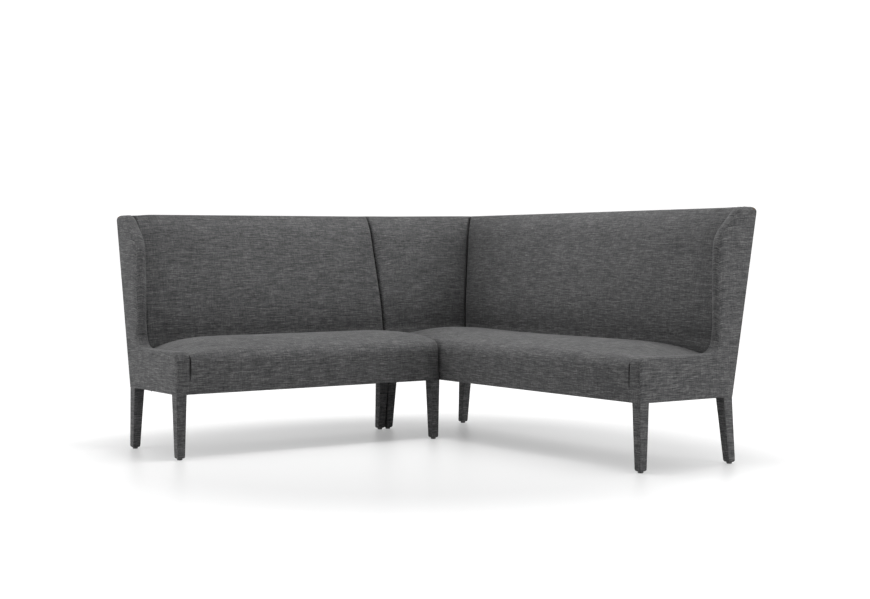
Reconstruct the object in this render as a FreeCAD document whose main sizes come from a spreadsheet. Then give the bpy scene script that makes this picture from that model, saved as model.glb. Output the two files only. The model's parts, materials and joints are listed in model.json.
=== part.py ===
import FreeCAD, Part
import math
import os
import re
import types

from FreeCAD import Placement, Rotation, Vector

# Corner banquette bench in two upholstered modules, in millimetres, +Z up.
# The origin is on the floor, under the middle of the whole bench.
# The left module runs along X and the right module along Y. They meet at the joint plane, where u = 0.
# u runs along a seat towards the corner, d from its front face to its back, and z up.
# On the left module u is X and d is Y. On the right module u is Y and d is X.
# The right module's return back stands in line with the left back, so it is placed like the left module.

SIZES = (
    # the whole bench
    ("total_height", 970),
    ("underside_height", 256),
    ("left_length", 1231),
    ("right_length", 1308),
    ("seat_depth", 459),
    ("back_lean", 129),
    ("joint_gap", 1),
    # skins and clearances
    ("cover", 2),
    ("slack", 0.3),
    ("wadding", 6),
    ("back_board", 4),
    ("dust_cover", 1.5),
    # timber frame
    ("rail_thickness", 28),
    ("rail_height", 90),
    ("cross_rail_height", 58),
    ("post_width", 40),
    ("top_rail_height", 60),
    ("top_rail_drop", 13),
    ("lower_rail_height", 50),
    ("lower_rail_rise", 164),
    ("corner_block", 70),
    ("corner_block_height", 60),
    ("wing_board", 18),
    ("board_inset", 8),
    # legs, their sleeves, bolts and glides
    ("leg_top", 45),
    ("leg_foot", 31),
    ("foot_inset", 21),
    ("splay", 25),
    ("glide_height", 8),
    ("glide_bevel", 2),
    ("glide_radius", 11),
    ("bolt_radius", 4),
    ("bolt_length", 62),
    ("bolt_head_radius", 8),
    ("bolt_head_height", 5),
    ("bolt_seat", 2),
    # seat suspension
    ("spring_wire", 3.6),
    ("spring_pitch", 30),
    ("spring_width", 54),
    ("clip_width", 16),
    ("clip_length", 18),
    ("clip_height", 6),
    ("clip_sheet", 1),
    ("deck_cloth", 1.2),
    # seat cushions
    ("left_crown", 474),
    ("right_crown", 480),
    ("wing_end_drop", 48),
    ("joint_end_drop", 19),
    ("corner_end_drop", 24),
    ("crown_run", 260),
    ("front_roll", 40),
    ("front_roll_rise", 36),
    ("front_rise", 36),
    ("rear_fall", 14),
    ("tuck_height", 385),
    # back cushions
    ("back_thickness", 88),
    ("back_face_low", 470),
    ("back_bulge", 8),
    ("back_end_bulge", 2),
    ("back_top_depth", 54),
    ("back_top_roll", 45),
    ("webbing_width", 60),
    ("webbing_thickness", 1.5),
    ("webbing_rise", 55),
    ("webbing_fall", 74.5),
    # end panels and wings
    ("end_width", 57),
    ("arm_height", 430),
    ("arm_corner", 25),
    ("cove_radius", 36),
    ("wing_forward", 67),
    ("wing_hollow", 5),
    ("wing_shoulder_height", 848),
    ("wing_shoulder_round", 24),
    ("wing_top_back", 41),
    # links between the modules
    ("link_length", 70),
    ("link_width", 34),
    ("link_thickness", 3),
    ("link_inset", 110),
    ("screw_radius", 2.2),
    ("screw_length", 22),
    ("screw_head_radius", 4.5),
    ("screw_head_height", 2),
    ("screw_inset", 9),
)

LEFT_SPRINGS = 8
RIGHT_SPRINGS = 11
STRAPS = 4
# cross rails and middle posts stand at these shares of a seat's length, counted back from the corner's side
CROSS_RAIL_SHARES = ("2 / 3", "1 / 3")
LEFT_POST_SHARE = "1 / 2"
RIGHT_POST_SHARES = ("7 / 11", "3 / 11")
# how far up the crown has come, at these shares of its run in from an end
CROWN_RUN_SHARES = (0.0, 0.12, 0.32, 0.62, 1.0)
BULGE_RUN_SHARES = (0.0, 0.25, 1.0)
# the most of a cushion's length that its crown takes to come up
LONGEST_RUN_SHARE = 0.45
# the middle of a round corner, as a share of its radius from the corner's centre
ROUND_SHARE = math.sqrt(1 / 2)
# the middle and the upper end of a wing's round shoulder, back and up, as shares of its radius
SHOULDER_MIDDLE_SHARES = (0.15, 0.62)
SHOULDER_END_SHARES = (0.55, 1.1)
# how steeply a cushion's crown comes up from its ends
CROWN_POWER = 1.5

document = FreeCAD.newDocument("Banquette")
sheet = document.addObject("Spreadsheet::Sheet", "Sizes")
for row, (name, value) in enumerate(SIZES, start=1):
    sheet.set("A%d" % row, name)
    sheet.set("B%d" % row, str(value))
    sheet.setAlias("B%d" % row, name)
document.recompute()

NAMES = [name for name, value in SIZES]
NAME_PATTERN = re.compile(r"\b(" + "|".join(NAMES) + r")\b")
size = types.SimpleNamespace(**{name: float(sheet.get(name)) for name in NAMES})
nodes = []


# Sums of named sizes, as text for the document's expressions

CENTRE_X = "((seat_depth + back_lean - left_length) / 2)"
CENTRE_Y = "((seat_depth + back_lean - right_length) / 2)"
SKIN = "(cover + wadding)"
REAR_SKIN = "(cover + back_board)"
RAIL_LOW = "(underside_height + dust_cover)"
RAIL_TOP = "(underside_height + dust_cover + rail_height)"
TOP_RAIL_TOP = "(total_height - top_rail_drop)"
TOP_RAIL_LOW = "(total_height - top_rail_drop - top_rail_height)"
LEG_INNER = "(leg_top - cover)"
SLAB = "(cover + back_board + rail_thickness)"
LEFT_OUTER = "(-left_length)"
RIGHT_OUTER = "(-right_length)"
LEFT_JOINT = "(-joint_gap)"


def formula(text):
    """A sum of named sizes as the document's expression."""
    return NAME_PATTERN.sub(r"Sizes.\1", text)


def rear_text(height):
    """Depth of the leaning rear face at a height, as a sum."""
    rise = "(total_height - underside_height)"
    return "(seat_depth + back_lean * (" + height + " - underside_height) / " + rise + ")"


def bind(item, **sums):
    for name, text in sums.items():
        item.setExpression(name.replace("__", "."), formula(text))
    return item


def node(item, label):
    item.Label = label
    nodes.append(item)
    return item


def block(name, run, low, high):
    """A block with level faces. low and high are its corners (u, d, z)."""
    item = document.addObject("Part::Box", name)
    order = (0, 1) if run == "x" else (1, 0)
    lengths = ["(" + high[axis] + ") - (" + low[axis] + ")" for axis in (0, 1, 2)]
    bind(item, Length=lengths[order[0]], Width=lengths[order[1]], Height=lengths[2])
    bind(item, Placement__Base__x=low[order[0]] + " - " + CENTRE_X)
    bind(item, Placement__Base__y=low[order[1]] + " - " + CENTRE_Y)
    bind(item, Placement__Base__z=low[2])
    return item


def sloped(name, run, z_low, low, z_high, high):
    """A block with sloping sides. low and high are its faces at two heights: u from, u to, d from, d to."""
    item = document.addObject("Part::Wedge", name)
    bind(item, Ymin=z_low, Ymax=z_high, Xmin=low[2], Xmax=low[3], X2min=high[2], X2max=high[3])
    if run == "x":
        bind(item, Zmin=low[0], Zmax=low[1], Z2min=high[0], Z2max=high[1])
        turn = Rotation(Vector(1, 1, 1), 120)
    else:
        bind(item, Zmin="-(" + low[1] + ")", Zmax="-(" + low[0] + ")")
        bind(item, Z2min="-(" + high[1] + ")", Z2max="-(" + high[0] + ")")
        turn = Rotation(Vector(1, 0, 0), 90)
    item.Placement = Placement(Vector(), turn)
    bind(item, Placement__Base__x="-" + CENTRE_X, Placement__Base__y="-" + CENTRE_Y)
    return item


def raked(name, run, u_low, u_high, z_low, z_high, behind, thick):
    """A sloped block that leans with the rear face. behind is its distance in front of that face.

    u_low and u_high are sums, or functions of the height where an end leans too."""
    faces = []
    for height in (z_low, z_high):
        ends = [end(height) if callable(end) else end for end in (u_low, u_high)]
        back = rear_text(height) + " - " + behind
        faces.append((ends[0], ends[1], back + " - (" + thick + ")", back))
    return sloped(name, run, z_low, faces[0], z_high, faces[1])


def leaning(inset):
    """An end that leans with the other back's rear face, inset from it."""
    return lambda height: rear_text(height) + " - (" + inset + ")"


def group(name, members):
    item = document.addObject("Part::Compound", name)
    item.Links = members
    return item


def cut(name, base, tool):
    item = document.addObject("Part::Cut", name)
    item.Base = base
    item.Tool = tool
    return item


def fuse(name, members):
    item = document.addObject("Part::MultiFuse", name)
    item.Shapes = members
    return item


def rod(name, start, direction, radius, length):
    """A round bar from a start point, given as three sums, in a direction."""
    item = document.addObject("Part::Cylinder", name)
    item.Placement = Placement(Vector(), Rotation(Vector(0, 0, 1), direction))
    bind(item, Radius=radius, Height=length)
    bind(item, Placement__Base__x=start[0] + " - " + CENTRE_X)
    bind(item, Placement__Base__y=start[1] + " - " + CENTRE_Y)
    bind(item, Placement__Base__z=start[2])
    return item


# Values in numbers, for the curved forms

centre_x = (size.seat_depth + size.back_lean - size.left_length) / 2
centre_y = (size.seat_depth + size.back_lean - size.right_length) / 2
rail_top = size.underside_height + size.dust_cover + size.rail_height
deck_low = rail_top + size.clip_height + size.slack
foam_low = deck_low + size.deck_cloth + size.slack
skin = size.cover + size.wadding
inside = size.cover + size.slack
slab_front = size.cover + size.back_board + size.rail_thickness
strap_front = slab_front + size.webbing_thickness
# longer than the whole bench, for cutting tools
overrun = size.left_length + size.right_length


def rear(height):
    """Depth of the leaning rear face at a height."""
    rise = size.total_height - size.underside_height
    return size.seat_depth + size.back_lean * (height - size.underside_height) / rise


def spot(run, u, d, z):
    if run == "x":
        return Vector(u - centre_x, d - centre_y, z)
    return Vector(d - centre_x, u - centre_y, z)


def path_edges(points):
    """Edges along a path. A point marked "arc" is the middle of an arc between its neighbours."""
    edges = []
    index = 0
    while index < len(points) - 1:
        if isinstance(points[index + 1], tuple):
            middle = points[index + 1][1]
            edges.append(Part.Arc(points[index], middle, points[index + 2]).toShape())
            index += 2
        else:
            edges.append(Part.LineSegment(points[index], points[index + 1]).toShape())
            index += 1
    return edges


def section(run, u, outline):
    """A closed wire across a module at u. The outline's points are (d, z) or ("arc", d, z)."""
    points = []
    for point in outline + [outline[0]]:
        if point[0] == "arc":
            points.append(("arc", spot(run, u, point[1], point[2])))
        else:
            points.append(spot(run, u, point[0], point[1]))
    return Part.Wire(path_edges(points))


def loft(run, stations, outline_at):
    """A solid through the outlines at the stations along u."""
    wires = [section(run, u, outline_at(u)) for u in stations]
    return Part.makeLoft(wires, True, False)


def prism(run, u_low, u_high, outline):
    """An outline across a module, drawn out along u."""
    face = Part.Face(section(run, u_low, outline))
    return face.extrude(spot(run, u_high, 0, 0) - spot(run, u_low, 0, 0))


def form(name, shape):
    item = document.addObject("Part::Feature", name)
    item.Shape = shape
    item.Placement = Placement()
    return item


def band(path, inner_path):
    """The outline of a skin between an outer path and an inner one."""
    return path + inner_path[::-1]


def stations(u_low, u_high, run_length, shares):
    """Places along u, close together near both ends."""
    reach = min(run_length, (u_high - u_low) * LONGEST_RUN_SHARE)
    near = [u_low + reach * share for share in shares]
    far = [u_high - reach * share for share in reversed(shares)]
    return near + far


def swell(u, u_low, u_high, low, high, run_length):
    """How much of the full crown stands at u. low and high are what stands at the two ends."""
    reach = min(run_length, (u_high - u_low) * LONGEST_RUN_SHARE)
    result = 1.0
    for distance, start in ((u - u_low, low), (u_high - u, high)):
        share = min(max(distance / reach, 0.0), 1.0)
        result -= (1.0 - start) * (1.0 - math.sin(share * math.pi / 2)) ** CROWN_POWER
    return result


# Legs, sleeves, glides and bolts

def inward(outer, sign, distance):
    return "(" + outer + (" + " if sign > 0 else " - ") + distance + ")"


def span(outer, sign, near, far):
    """The lower and upper limits of a stretch between two distances inward from an outer face."""
    limits = [inward(outer, sign, near), inward(outer, sign, far)]
    return limits if sign > 0 else limits[::-1]


def leg(label, run, u_face, d_face, splayed, leans):
    """A leg with its sleeve and its glide. Each face is its outer face's place and the way inward."""
    half = "leg_foot / 2"
    out = "splay" if splayed else "0"
    foot_u = inward(u_face[0], u_face[1], "foot_inset")
    foot_d = inward(d_face[0], d_face[1], "(foot_inset - " + out + ")")
    parts = {}
    for name, skin_text in (("wood", "cover"), ("sleeve", "0")):
        top_span = ("(" + skin_text + ")", "(leg_top - " + skin_text + ")")
        top = span(u_face[0], u_face[1], *top_span) + span(d_face[0], d_face[1], *top_span)
        reach = "(" + half + " - " + skin_text + ")"
        foot = [place + sign + reach for place in (foot_u, foot_d) for sign in (" - ", " + ")]
        parts[name] = sloped(label + "_" + name, run, "glide_height", foot, "underside_height", top)
    sleeve = cut(label + "_cover", parts["sleeve"], parts["wood"])
    head_faces = []
    for height in ("underside_height", RAIL_TOP):
        u_head = span(u_face[0], u_face[1], SKIN, LEG_INNER)
        d_head = span(d_face[0], d_face[1], SKIN, LEG_INNER)
        if "d" in leans:
            d_head = [rear_text(height) + " - " + LEG_INNER, rear_text(height) + " - " + REAR_SKIN]
        if "u" in leans:
            u_head = [rear_text(height) + " - " + LEG_INNER, rear_text(height) + " - " + REAR_SKIN]
        head_faces.append(u_head + d_head)
    head = sloped(label + "_head", run, "underside_height", head_faces[0], RAIL_TOP, head_faces[1])
    whole = fuse(label + "_whole", [parts["wood"], head])
    centre = (foot_u, foot_d) if run == "x" else (foot_d, foot_u)
    rim = rod(label + "_glide_rim", centre + ("glide_bevel",), Vector(0, 0, 1), "glide_radius",
              "glide_height - glide_bevel")
    bevel = document.addObject("Part::Cone", label + "_glide_bevel")
    bind(bevel, Radius1="glide_radius - glide_bevel", Radius2="glide_radius", Height="glide_bevel")
    bind(bevel, Placement__Base__x=centre[0] + " - " + CENTRE_X)
    bind(bevel, Placement__Base__y=centre[1] + " - " + CENTRE_Y)
    glide = fuse(label + "_glide", [rim, bevel])
    bolt, hole = leg_bolt(label, run, u_face, d_face, leans)
    node(cut(label + "_bored", whole, hole), label)
    return sleeve, glide, bolt, hole


BOLT_HEIGHT = "(underside_height + dust_cover + corner_block_height / 2)"


def leg_bolt(label, run, u_face, d_face, leans):
    """A bolt level through the corner block into the leg's head, on the diagonal, with its hole.

    The hole has a flat seat for the head, let into the block's face."""
    reach = "(" + SKIN + " + rail_thickness + corner_block / 2 - bolt_seat)"
    start_u = inward(u_face[0], u_face[1], reach)
    start_d = inward(d_face[0], d_face[1], reach)
    lean_reach = "(" + SLAB + " + corner_block / 2 - bolt_seat)"
    if "u" in leans:
        start_u = rear_text(BOLT_HEIGHT) + " - " + lean_reach
    if "d" in leans:
        start_d = rear_text(BOLT_HEIGHT) + " - " + lean_reach
    start = (start_u, start_d) if run == "x" else (start_d, start_u)
    signs = (u_face[1], d_face[1]) if run == "x" else (d_face[1], u_face[1])
    outward = Vector(-signs[0], -signs[1], 0)
    place = start + (BOLT_HEIGHT,)
    shank = rod(label + "_bolt_shank", place, outward, "bolt_radius", "bolt_length")
    head = rod(label + "_bolt_head", place, outward * -1, "bolt_head_radius", "bolt_head_height")
    bore = rod(label + "_bolt_bore", place, outward, "bolt_radius + slack", "bolt_length + slack")
    seat = rod(label + "_bolt_seat", place, outward * -1, "bolt_head_radius + bolt_seat",
               "bolt_head_height + bolt_seat")
    return fuse(label + "_bolt", [shank, head]), fuse(label + "_bolt_hole", [bore, seat])


def corner_block_shape(run, u_face, d_face, leans):
    """A block that fills the corner between two rails, with the leg's head let into it."""
    low = size.underside_height + size.dust_cover
    edge = skin + size.rail_thickness
    head = size.leg_top - size.cover
    inner_u = slab_front if "u" in leans else edge
    inner_d = slab_front if "d" in leans else edge
    corners = (
        (head, inner_d),
        (inner_u + size.corner_block, inner_d),
        (inner_u, inner_d + size.corner_block),
        (inner_u, head),
        (head, head),
    )
    origin_u = rear(low) if "u" in leans else u_face[0]
    origin_d = rear(low) if "d" in leans else d_face[0]
    points = [spot(run, origin_u + u_face[1] * a, origin_d + d_face[1] * b, low) for a, b in corners]
    lean = rear(low + size.corner_block_height) - rear(low)
    shift = spot(run, lean if "u" in leans else 0, lean if "d" in leans else 0, size.corner_block_height)
    shift = shift - spot(run, 0, 0, 0)
    return Part.Face(Part.Wire(path_edges(points + [points[0]]))).extrude(shift)


LEGS = (
    # label, run, (outer face along u, way in), (outer face along d, way in), splayed, faces that lean
    ("left_front_outer_leg", "x", ("-left_length", 1), ("0", 1), False, ""),
    ("left_front_joint_leg", "x", ("-joint_gap", -1), ("0", 1), False, ""),
    ("left_rear_outer_leg", "x", ("-left_length", 1), ("seat_depth", -1), True, "d"),
    ("left_rear_joint_leg", "x", ("-joint_gap", -1), ("seat_depth", -1), True, "d"),
    ("right_front_outer_leg", "y", ("-right_length", 1), ("0", 1), False, ""),
    ("right_rear_outer_leg", "y", ("-right_length", 1), ("seat_depth", -1), True, "d"),
    ("right_rear_corner_leg", "x", ("seat_depth", -1), ("seat_depth", -1), True, "ud"),
    ("right_return_leg", "x", ("0", 1), ("seat_depth", -1), True, "d"),
)
FACE_VALUES = {
    "-left_length": -size.left_length,
    "-right_length": -size.right_length,
    "-joint_gap": -size.joint_gap,
    "0": 0.0,
    "seat_depth": size.seat_depth,
}

covers = {"left": [], "right": []}
blocks = {"left": [], "right": []}
glides = []
bolts = []
for label, run, u_face, d_face, splayed, leans in LEGS:
    sleeve, glide, bolt, hole = leg(label, run, u_face, d_face, splayed, leans)
    module = label.split("_")[0]
    values = [(FACE_VALUES[face[0]], face[1]) for face in (u_face, d_face)]
    raw = form(label + "_block", corner_block_shape(run, values[0], values[1], leans))
    blocks[module].append(cut(label + "_block_bored", raw, hole))
    covers[module].append(sleeve)
    glides.append(glide)
    bolts.append(bolt)
for module in ("left", "right"):
    node(group(module + "_leg_covers_group", covers[module]), module + "_leg_covers")
    node(group(module + "_corner_blocks_group", blocks[module]), module + "_corner_blocks")
node(group("glides_group", glides), "glides")
node(group("leg_bolts_group", bolts), "leg_bolts")


# Seat frames

def frame_rails(module, run, outer, far_end, sides, crosses):
    """The rails of a module's seat, from its outer end to its far leg's head.

    far_end is where that head starts, as a sum or as a function of the height. sides are the sums where
    the side rails start, and crosses those of the lower rails between them."""
    start = outer + " + " + LEG_INNER
    low_end = far_end(RAIL_LOW) if callable(far_end) else far_end
    top_end = far_end(RAIL_TOP) if callable(far_end) else far_end
    front = (SKIN, SKIN + " + rail_thickness")
    front_rail = sloped(module + "_front", run, RAIL_LOW, (start, low_end) + front,
                        RAIL_TOP, (start, top_end) + front)
    node(front_rail, module + "_front_rail")
    rear_rails = [raked(module + "_rear", run, start, far_end, RAIL_LOW, RAIL_TOP, REAR_SKIN,
                        "rail_thickness")]
    if module == "right":
        return_rear = raked("return_rear", "x", LEG_INNER, leaning(LEG_INNER), RAIL_LOW, RAIL_TOP,
                            REAR_SKIN, "rail_thickness")
        rear_rails.append(return_rear)
    node(group(module + "_rear_rails_group", rear_rails), module + "_rear_rails")
    rails = []
    for place in sides + crosses:
        top = RAIL_TOP if place in sides else "(" + RAIL_LOW + " + cross_rail_height)"
        front_d = LEG_INNER if place in sides else "(" + SKIN + " + rail_thickness)"
        rear_inset = LEG_INNER if place in sides else SLAB
        faces = []
        for height in (RAIL_LOW, top):
            rear_d = rear_text(height) + " - " + rear_inset
            faces.append((place, place + " + rail_thickness", front_d, rear_d))
        rails.append(sloped(module + "_cross_%d" % len(rails), run, RAIL_LOW, faces[0], top, faces[1]))
    node(group(module + "_cross_rails_group", rails), module + "_cross_rails")


left_inner = LEFT_JOINT + " - " + LEG_INNER
frame_rails("left", "x", LEFT_OUTER, left_inner,
            [LEFT_OUTER + " + " + SKIN, LEFT_JOINT + " - " + SKIN + " - rail_thickness"],
            ["(-left_length * " + share + ")" for share in CROSS_RAIL_SHARES])
right_crosses = ["(-right_length * " + share + ")" for share in CROSS_RAIL_SHARES]
right_crosses.append("(0 - rail_thickness / 2)")
frame_rails("right", "y", RIGHT_OUTER, leaning(LEG_INNER), [RIGHT_OUTER + " + " + SKIN], right_crosses)


# Back frames

def back_frame(members, run, first, posts, end):
    """Posts, top rail and lower rails of one back. posts are the sums where each post starts."""
    post_items = []
    for index, place in enumerate(posts):
        if callable(place):
            high = leaning(REAR_SKIN)
            post = raked(members + "_post_%d" % index, run, place, high, RAIL_TOP, TOP_RAIL_LOW, REAR_SKIN,
                         "rail_thickness")
        else:
            post = raked(members + "_post_%d" % index, run, place, place + " + post_width", RAIL_TOP,
                         TOP_RAIL_LOW, REAR_SKIN, "rail_thickness")
        post_items.append(post)
    top = raked(members + "_top", run, first, end, TOP_RAIL_LOW, TOP_RAIL_TOP, REAR_SKIN, "rail_thickness")
    lower_low = "(" + RAIL_TOP + " + lower_rail_rise)"
    lower_top = "(" + RAIL_TOP + " + lower_rail_rise + lower_rail_height)"
    lowers = []
    ends = list(posts[1:])
    if members == "return":
        ends.append(leaning("(" + SLAB + " + webbing_thickness)"))
    for index, place in enumerate(ends):
        lowers.append(raked(members + "_lower_%d" % index, run, posts[index] + " + post_width", place,
                            lower_low, lower_top, REAR_SKIN, "rail_thickness"))
    straps = []
    strap_end = end
    if members == "left":
        strap_end = posts[-1] + " + post_width"
    if members == "return":
        strap_end = leaning("(" + SLAB + " + webbing_thickness)")
    lowest = "(" + RAIL_TOP + " + webbing_rise)"
    highest = "(" + TOP_RAIL_LOW + " - webbing_fall - webbing_width)"
    for index in range(STRAPS):
        low = "(" + lowest + " + (" + highest + " - " + lowest + ") * %d / %d)" % (index, STRAPS - 1)
        straps.append(raked(members + "_strap_%d" % index, run, posts[0], strap_end, low,
                            low + " + webbing_width", SLAB, "webbing_thickness"))
    return post_items, top, lowers, straps


LEFT_CUSHION = "(left_length - end_width - joint_gap)"
RIGHT_CUSHION = "(right_length - end_width + seat_depth - back_thickness)"
outer_post = " + " + SKIN + " + wing_board"
left_last_post = LEFT_JOINT + " - " + SKIN + " - post_width"
left_middle_post = "(" + LEFT_JOINT + " - " + LEFT_CUSHION + " * " + LEFT_POST_SHARE + " - post_width / 2)"
left_posts, left_top, left_lowers, left_straps = back_frame(
    "left", "x", LEFT_OUTER + outer_post,
    [LEFT_OUTER + outer_post, left_middle_post, left_last_post],
    LEFT_JOINT + " - " + SKIN)
corner_post = leaning("(" + REAR_SKIN + " + post_width)")
right_middle_posts = [
    "(seat_depth - back_thickness - " + RIGHT_CUSHION + " * " + share + " - post_width / 2)"
    for share in RIGHT_POST_SHARES
]
right_posts, right_top, right_lowers, right_straps = back_frame(
    "right", "y", RIGHT_OUTER + outer_post,
    [RIGHT_OUTER + outer_post] + right_middle_posts + [corner_post],
    leaning(REAR_SKIN))
return_posts, return_top, return_lowers, return_straps = back_frame(
    "return", "x", SKIN, [SKIN], leaning(SLAB))
node(group("left_posts_group", left_posts), "left_back_posts")
node(group("right_posts_group", right_posts + return_posts), "right_back_posts")
node(left_top, "left_back_top_rail")
node(right_top, "right_back_top_rail")
node(return_top, "right_return_top_rail")
node(group("left_lowers_group", left_lowers), "left_back_lower_rails")
node(group("right_lowers_group", right_lowers + return_lowers), "right_back_lower_rails")
node(group("left_straps_group", left_straps), "left_back_webbing")
node(group("right_straps_group", right_straps + return_straps), "right_back_webbing")


# Rear boards and outside back covers, each a sheet that leans with the back

BOARD_TOP = "(total_height - cover)"
left_board = raked("left_board", "x", LEFT_OUTER + " + cover", LEFT_JOINT + " - cover", RAIL_LOW, BOARD_TOP,
                   "cover", "back_board")
right_board = raked("right_board", "y", RIGHT_OUTER + " + cover", leaning("cover"), RAIL_LOW, BOARD_TOP,
                    "cover", "back_board")
return_board = raked("return_board", "x", "cover", leaning(REAR_SKIN), RAIL_LOW, BOARD_TOP,
                     "cover", "back_board")
node(left_board, "left_back_board")
node(group("right_boards_group", [right_board, return_board]), "right_back_boards")
left_outside = raked("left_outside", "x", LEFT_OUTER, LEFT_JOINT, "underside_height", "total_height",
                     "0", "cover")
right_outside = raked("right_outside", "y", RIGHT_OUTER, leaning("0"), "underside_height", "total_height",
                      "0", "cover")
return_outside = raked("return_outside", "x", "0", leaning("cover"), "underside_height", "total_height",
                       "0", "cover")
node(left_outside, "left_outside_back_cover")
node(group("right_outsides_group", [right_outside, return_outside]), "right_outside_back_covers")


# End panels with their wings

def end_outline(inset, low):
    """The end panel seen from the side, from its lower front corner round to its rear."""
    arm = size.arm_height - inset
    corner = size.arm_corner
    quarter = corner * (1 - ROUND_SHARE)
    front = size.seat_depth - size.wing_forward + inset
    cove = size.cove_radius
    cove_bend = cove * ROUND_SHARE
    shoulder = size.wing_shoulder_height
    rounded = size.wing_shoulder_round
    hollow_height = (arm + cove + shoulder) / 2
    top = size.total_height - inset
    round_middle = [rounded * share for share in SHOULDER_MIDDLE_SHARES]
    round_end = [rounded * share for share in SHOULDER_END_SHARES]
    return [
        (inset, low),
        (inset, arm - corner),
        ("arc", inset + quarter, arm - quarter),
        (inset + corner, arm),
        (front - cove, arm),
        ("arc", front - cove + cove_bend, arm + cove - cove_bend),
        (front, arm + cove),
        ("arc", front - size.wing_hollow, hollow_height),
        (front, shoulder),
        ("arc", front + round_middle[0], shoulder + round_middle[1]),
        (front + round_end[0], shoulder + round_end[1]),
        (size.seat_depth + size.wing_top_back + inset, top),
        (rear(top) - size.cover - inset, top),
        (rear(low) - size.cover - inset, low),
    ]


def end_panel(module, run, outer):
    """A module's outer end: the board, the foam on its inner side and the cover over both."""
    board_outline = end_outline(size.board_inset, rail_top)
    board_outline[-2] = (rear(size.total_height - size.board_inset) - size.cover - size.back_board,
                         size.total_height - size.board_inset)
    board_outline[-1] = (rear(rail_top) - size.cover - size.back_board, rail_top)
    node(form(module + "_board", prism(run, outer + skin, outer + skin + size.wing_board, board_outline)),
         module + "_wing_board")
    foam_outline = end_outline(inside, rail_top + size.slack)
    top = size.total_height - inside
    foam_outline[-2] = (rear(top) - strap_front - size.slack, top)
    foam_outline[-1] = (rear(rail_top + size.slack) - strap_front - size.slack, rail_top + size.slack)
    foam_low_u = outer + skin + size.wing_board + size.slack
    foam_high_u = outer + size.end_width - inside
    node(form(module + "_foam", prism(run, foam_low_u, foam_high_u, foam_outline)), module + "_end_foam")
    whole = prism(run, outer, outer + size.end_width, end_outline(0, size.underside_height))
    hollow_outline = end_outline(size.cover, -size.underside_height)
    top = size.total_height - size.cover
    hollow_outline[-2] = (rear(top) + size.back_lean, top)
    hollow_outline[-1] = (rear(top) + size.back_lean, -size.underside_height)
    hollow = prism(run, outer + size.cover, outer + size.end_width - size.cover, hollow_outline)
    low_trim = [
        (size.cover, -size.underside_height),
        (size.cover, size.tuck_height),
        (rear(size.tuck_height) - size.back_thickness + size.board_inset, size.tuck_height),
        (rear(size.total_height) - size.back_thickness + size.board_inset, size.total_height - size.cover),
        (rear(size.total_height) + size.back_lean, size.total_height - size.cover),
        (rear(size.total_height) + size.back_lean, -size.underside_height),
    ]
    trim = prism(run, outer + size.end_width / 2, outer + size.end_width + size.cover, low_trim)
    node(form(module + "_end", whole.cut(hollow).cut(trim)), module + "_end_cover")


end_panel("left", "x", -size.left_length)
end_panel("right", "y", -size.right_length)


# Seat cushions

def seat_path(crown, inset):
    """The seat's surface, from the foot of its front face over the roll and the crown to its rear."""
    edge = crown - size.front_roll_rise - size.front_rise
    roll = size.front_roll
    bend = roll * (1 - ROUND_SHARE)
    rise = size.front_roll_rise
    start = (inset, size.underside_height + inset)
    roll_end = (roll, edge + rise - inset)
    back_height = crown - size.rear_fall - inset
    clearance = size.back_thickness + 2 * size.slack + inset
    middle = (roll + rear(back_height) - clearance) / 2
    return [
        start,
        (inset, edge),
        ("arc", bend + inset * ROUND_SHARE, edge + (rise - inset) * ROUND_SHARE),
        roll_end,
        ("arc", middle, crown - inset),
        (rear(back_height) - clearance, back_height),
        (rear(size.tuck_height) - clearance, size.tuck_height),
    ]


def seat_forms(module, run, u_low, u_high, crown, drops):
    """The seat foam and its cover between two ends. drops are how far the crown falls at each end."""
    places = stations(u_low, u_high, size.crown_run, CROWN_RUN_SHARES)
    lows = [1 - drop / (crown - foam_low) for drop in drops]

    def crown_at(u):
        share = swell(u, u_low, u_high, lows[0], lows[1], size.crown_run)
        return foam_low + (crown - foam_low) * share

    def foam_outline(u):
        outline = seat_path(crown_at(u), inside)
        clearance = size.back_thickness + 2 * size.slack + inside
        outline.append((rear(foam_low) - clearance, foam_low))
        outline.append((skin - size.slack, foam_low))
        outline.append((skin - size.slack, size.underside_height + inside))
        return outline

    def cover_outline(u):
        outer = seat_path(crown_at(u), 0)
        inner = seat_path(crown_at(u), size.cover)
        outer[0] = (0, size.underside_height)
        inner[0] = (size.cover, size.underside_height)
        return band(outer, inner)

    foam = loft(run, [min(max(u, u_low + size.slack), u_high - size.slack) for u in places], foam_outline)
    cover = loft(run, places, cover_outline)
    return foam, cover


def behind_face(run, inset):
    """A cutting block behind a back's front face, less an inset. It runs past both ends."""
    front = size.back_thickness + inset
    low = -size.underside_height
    high = size.total_height + size.underside_height
    outline = [
        (rear(low) - front, low),
        (rear(high) - front, high),
        (overrun, high),
        (overrun, low),
    ]
    return prism(run, -overrun, overrun, outline)


left_seat_low = -size.left_length + size.end_width + size.slack
left_seat_high = -size.joint_gap - size.cover
foam, cover = seat_forms("left", "x", left_seat_low, left_seat_high, size.left_crown,
                         (size.wing_end_drop, size.joint_end_drop))
node(form("left_seat", foam), "left_seat_foam")
node(form("left_seat_skin", cover), "left_seat_cover")
right_seat_low = -size.right_length + size.end_width + size.slack
right_seat_high = rear(size.right_crown) - size.back_thickness
foam, cover = seat_forms("right", "y", right_seat_low, right_seat_high, size.right_crown,
                         (size.wing_end_drop, size.corner_end_drop))
foam = foam.cut(behind_face("x", 2 * size.slack + inside))
cover = cover.cut(behind_face("x", 2 * size.slack))
node(form("right_seat", foam), "right_seat_foam")
node(form("right_seat_skin", cover), "right_seat_cover")


# Back cushions

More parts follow.
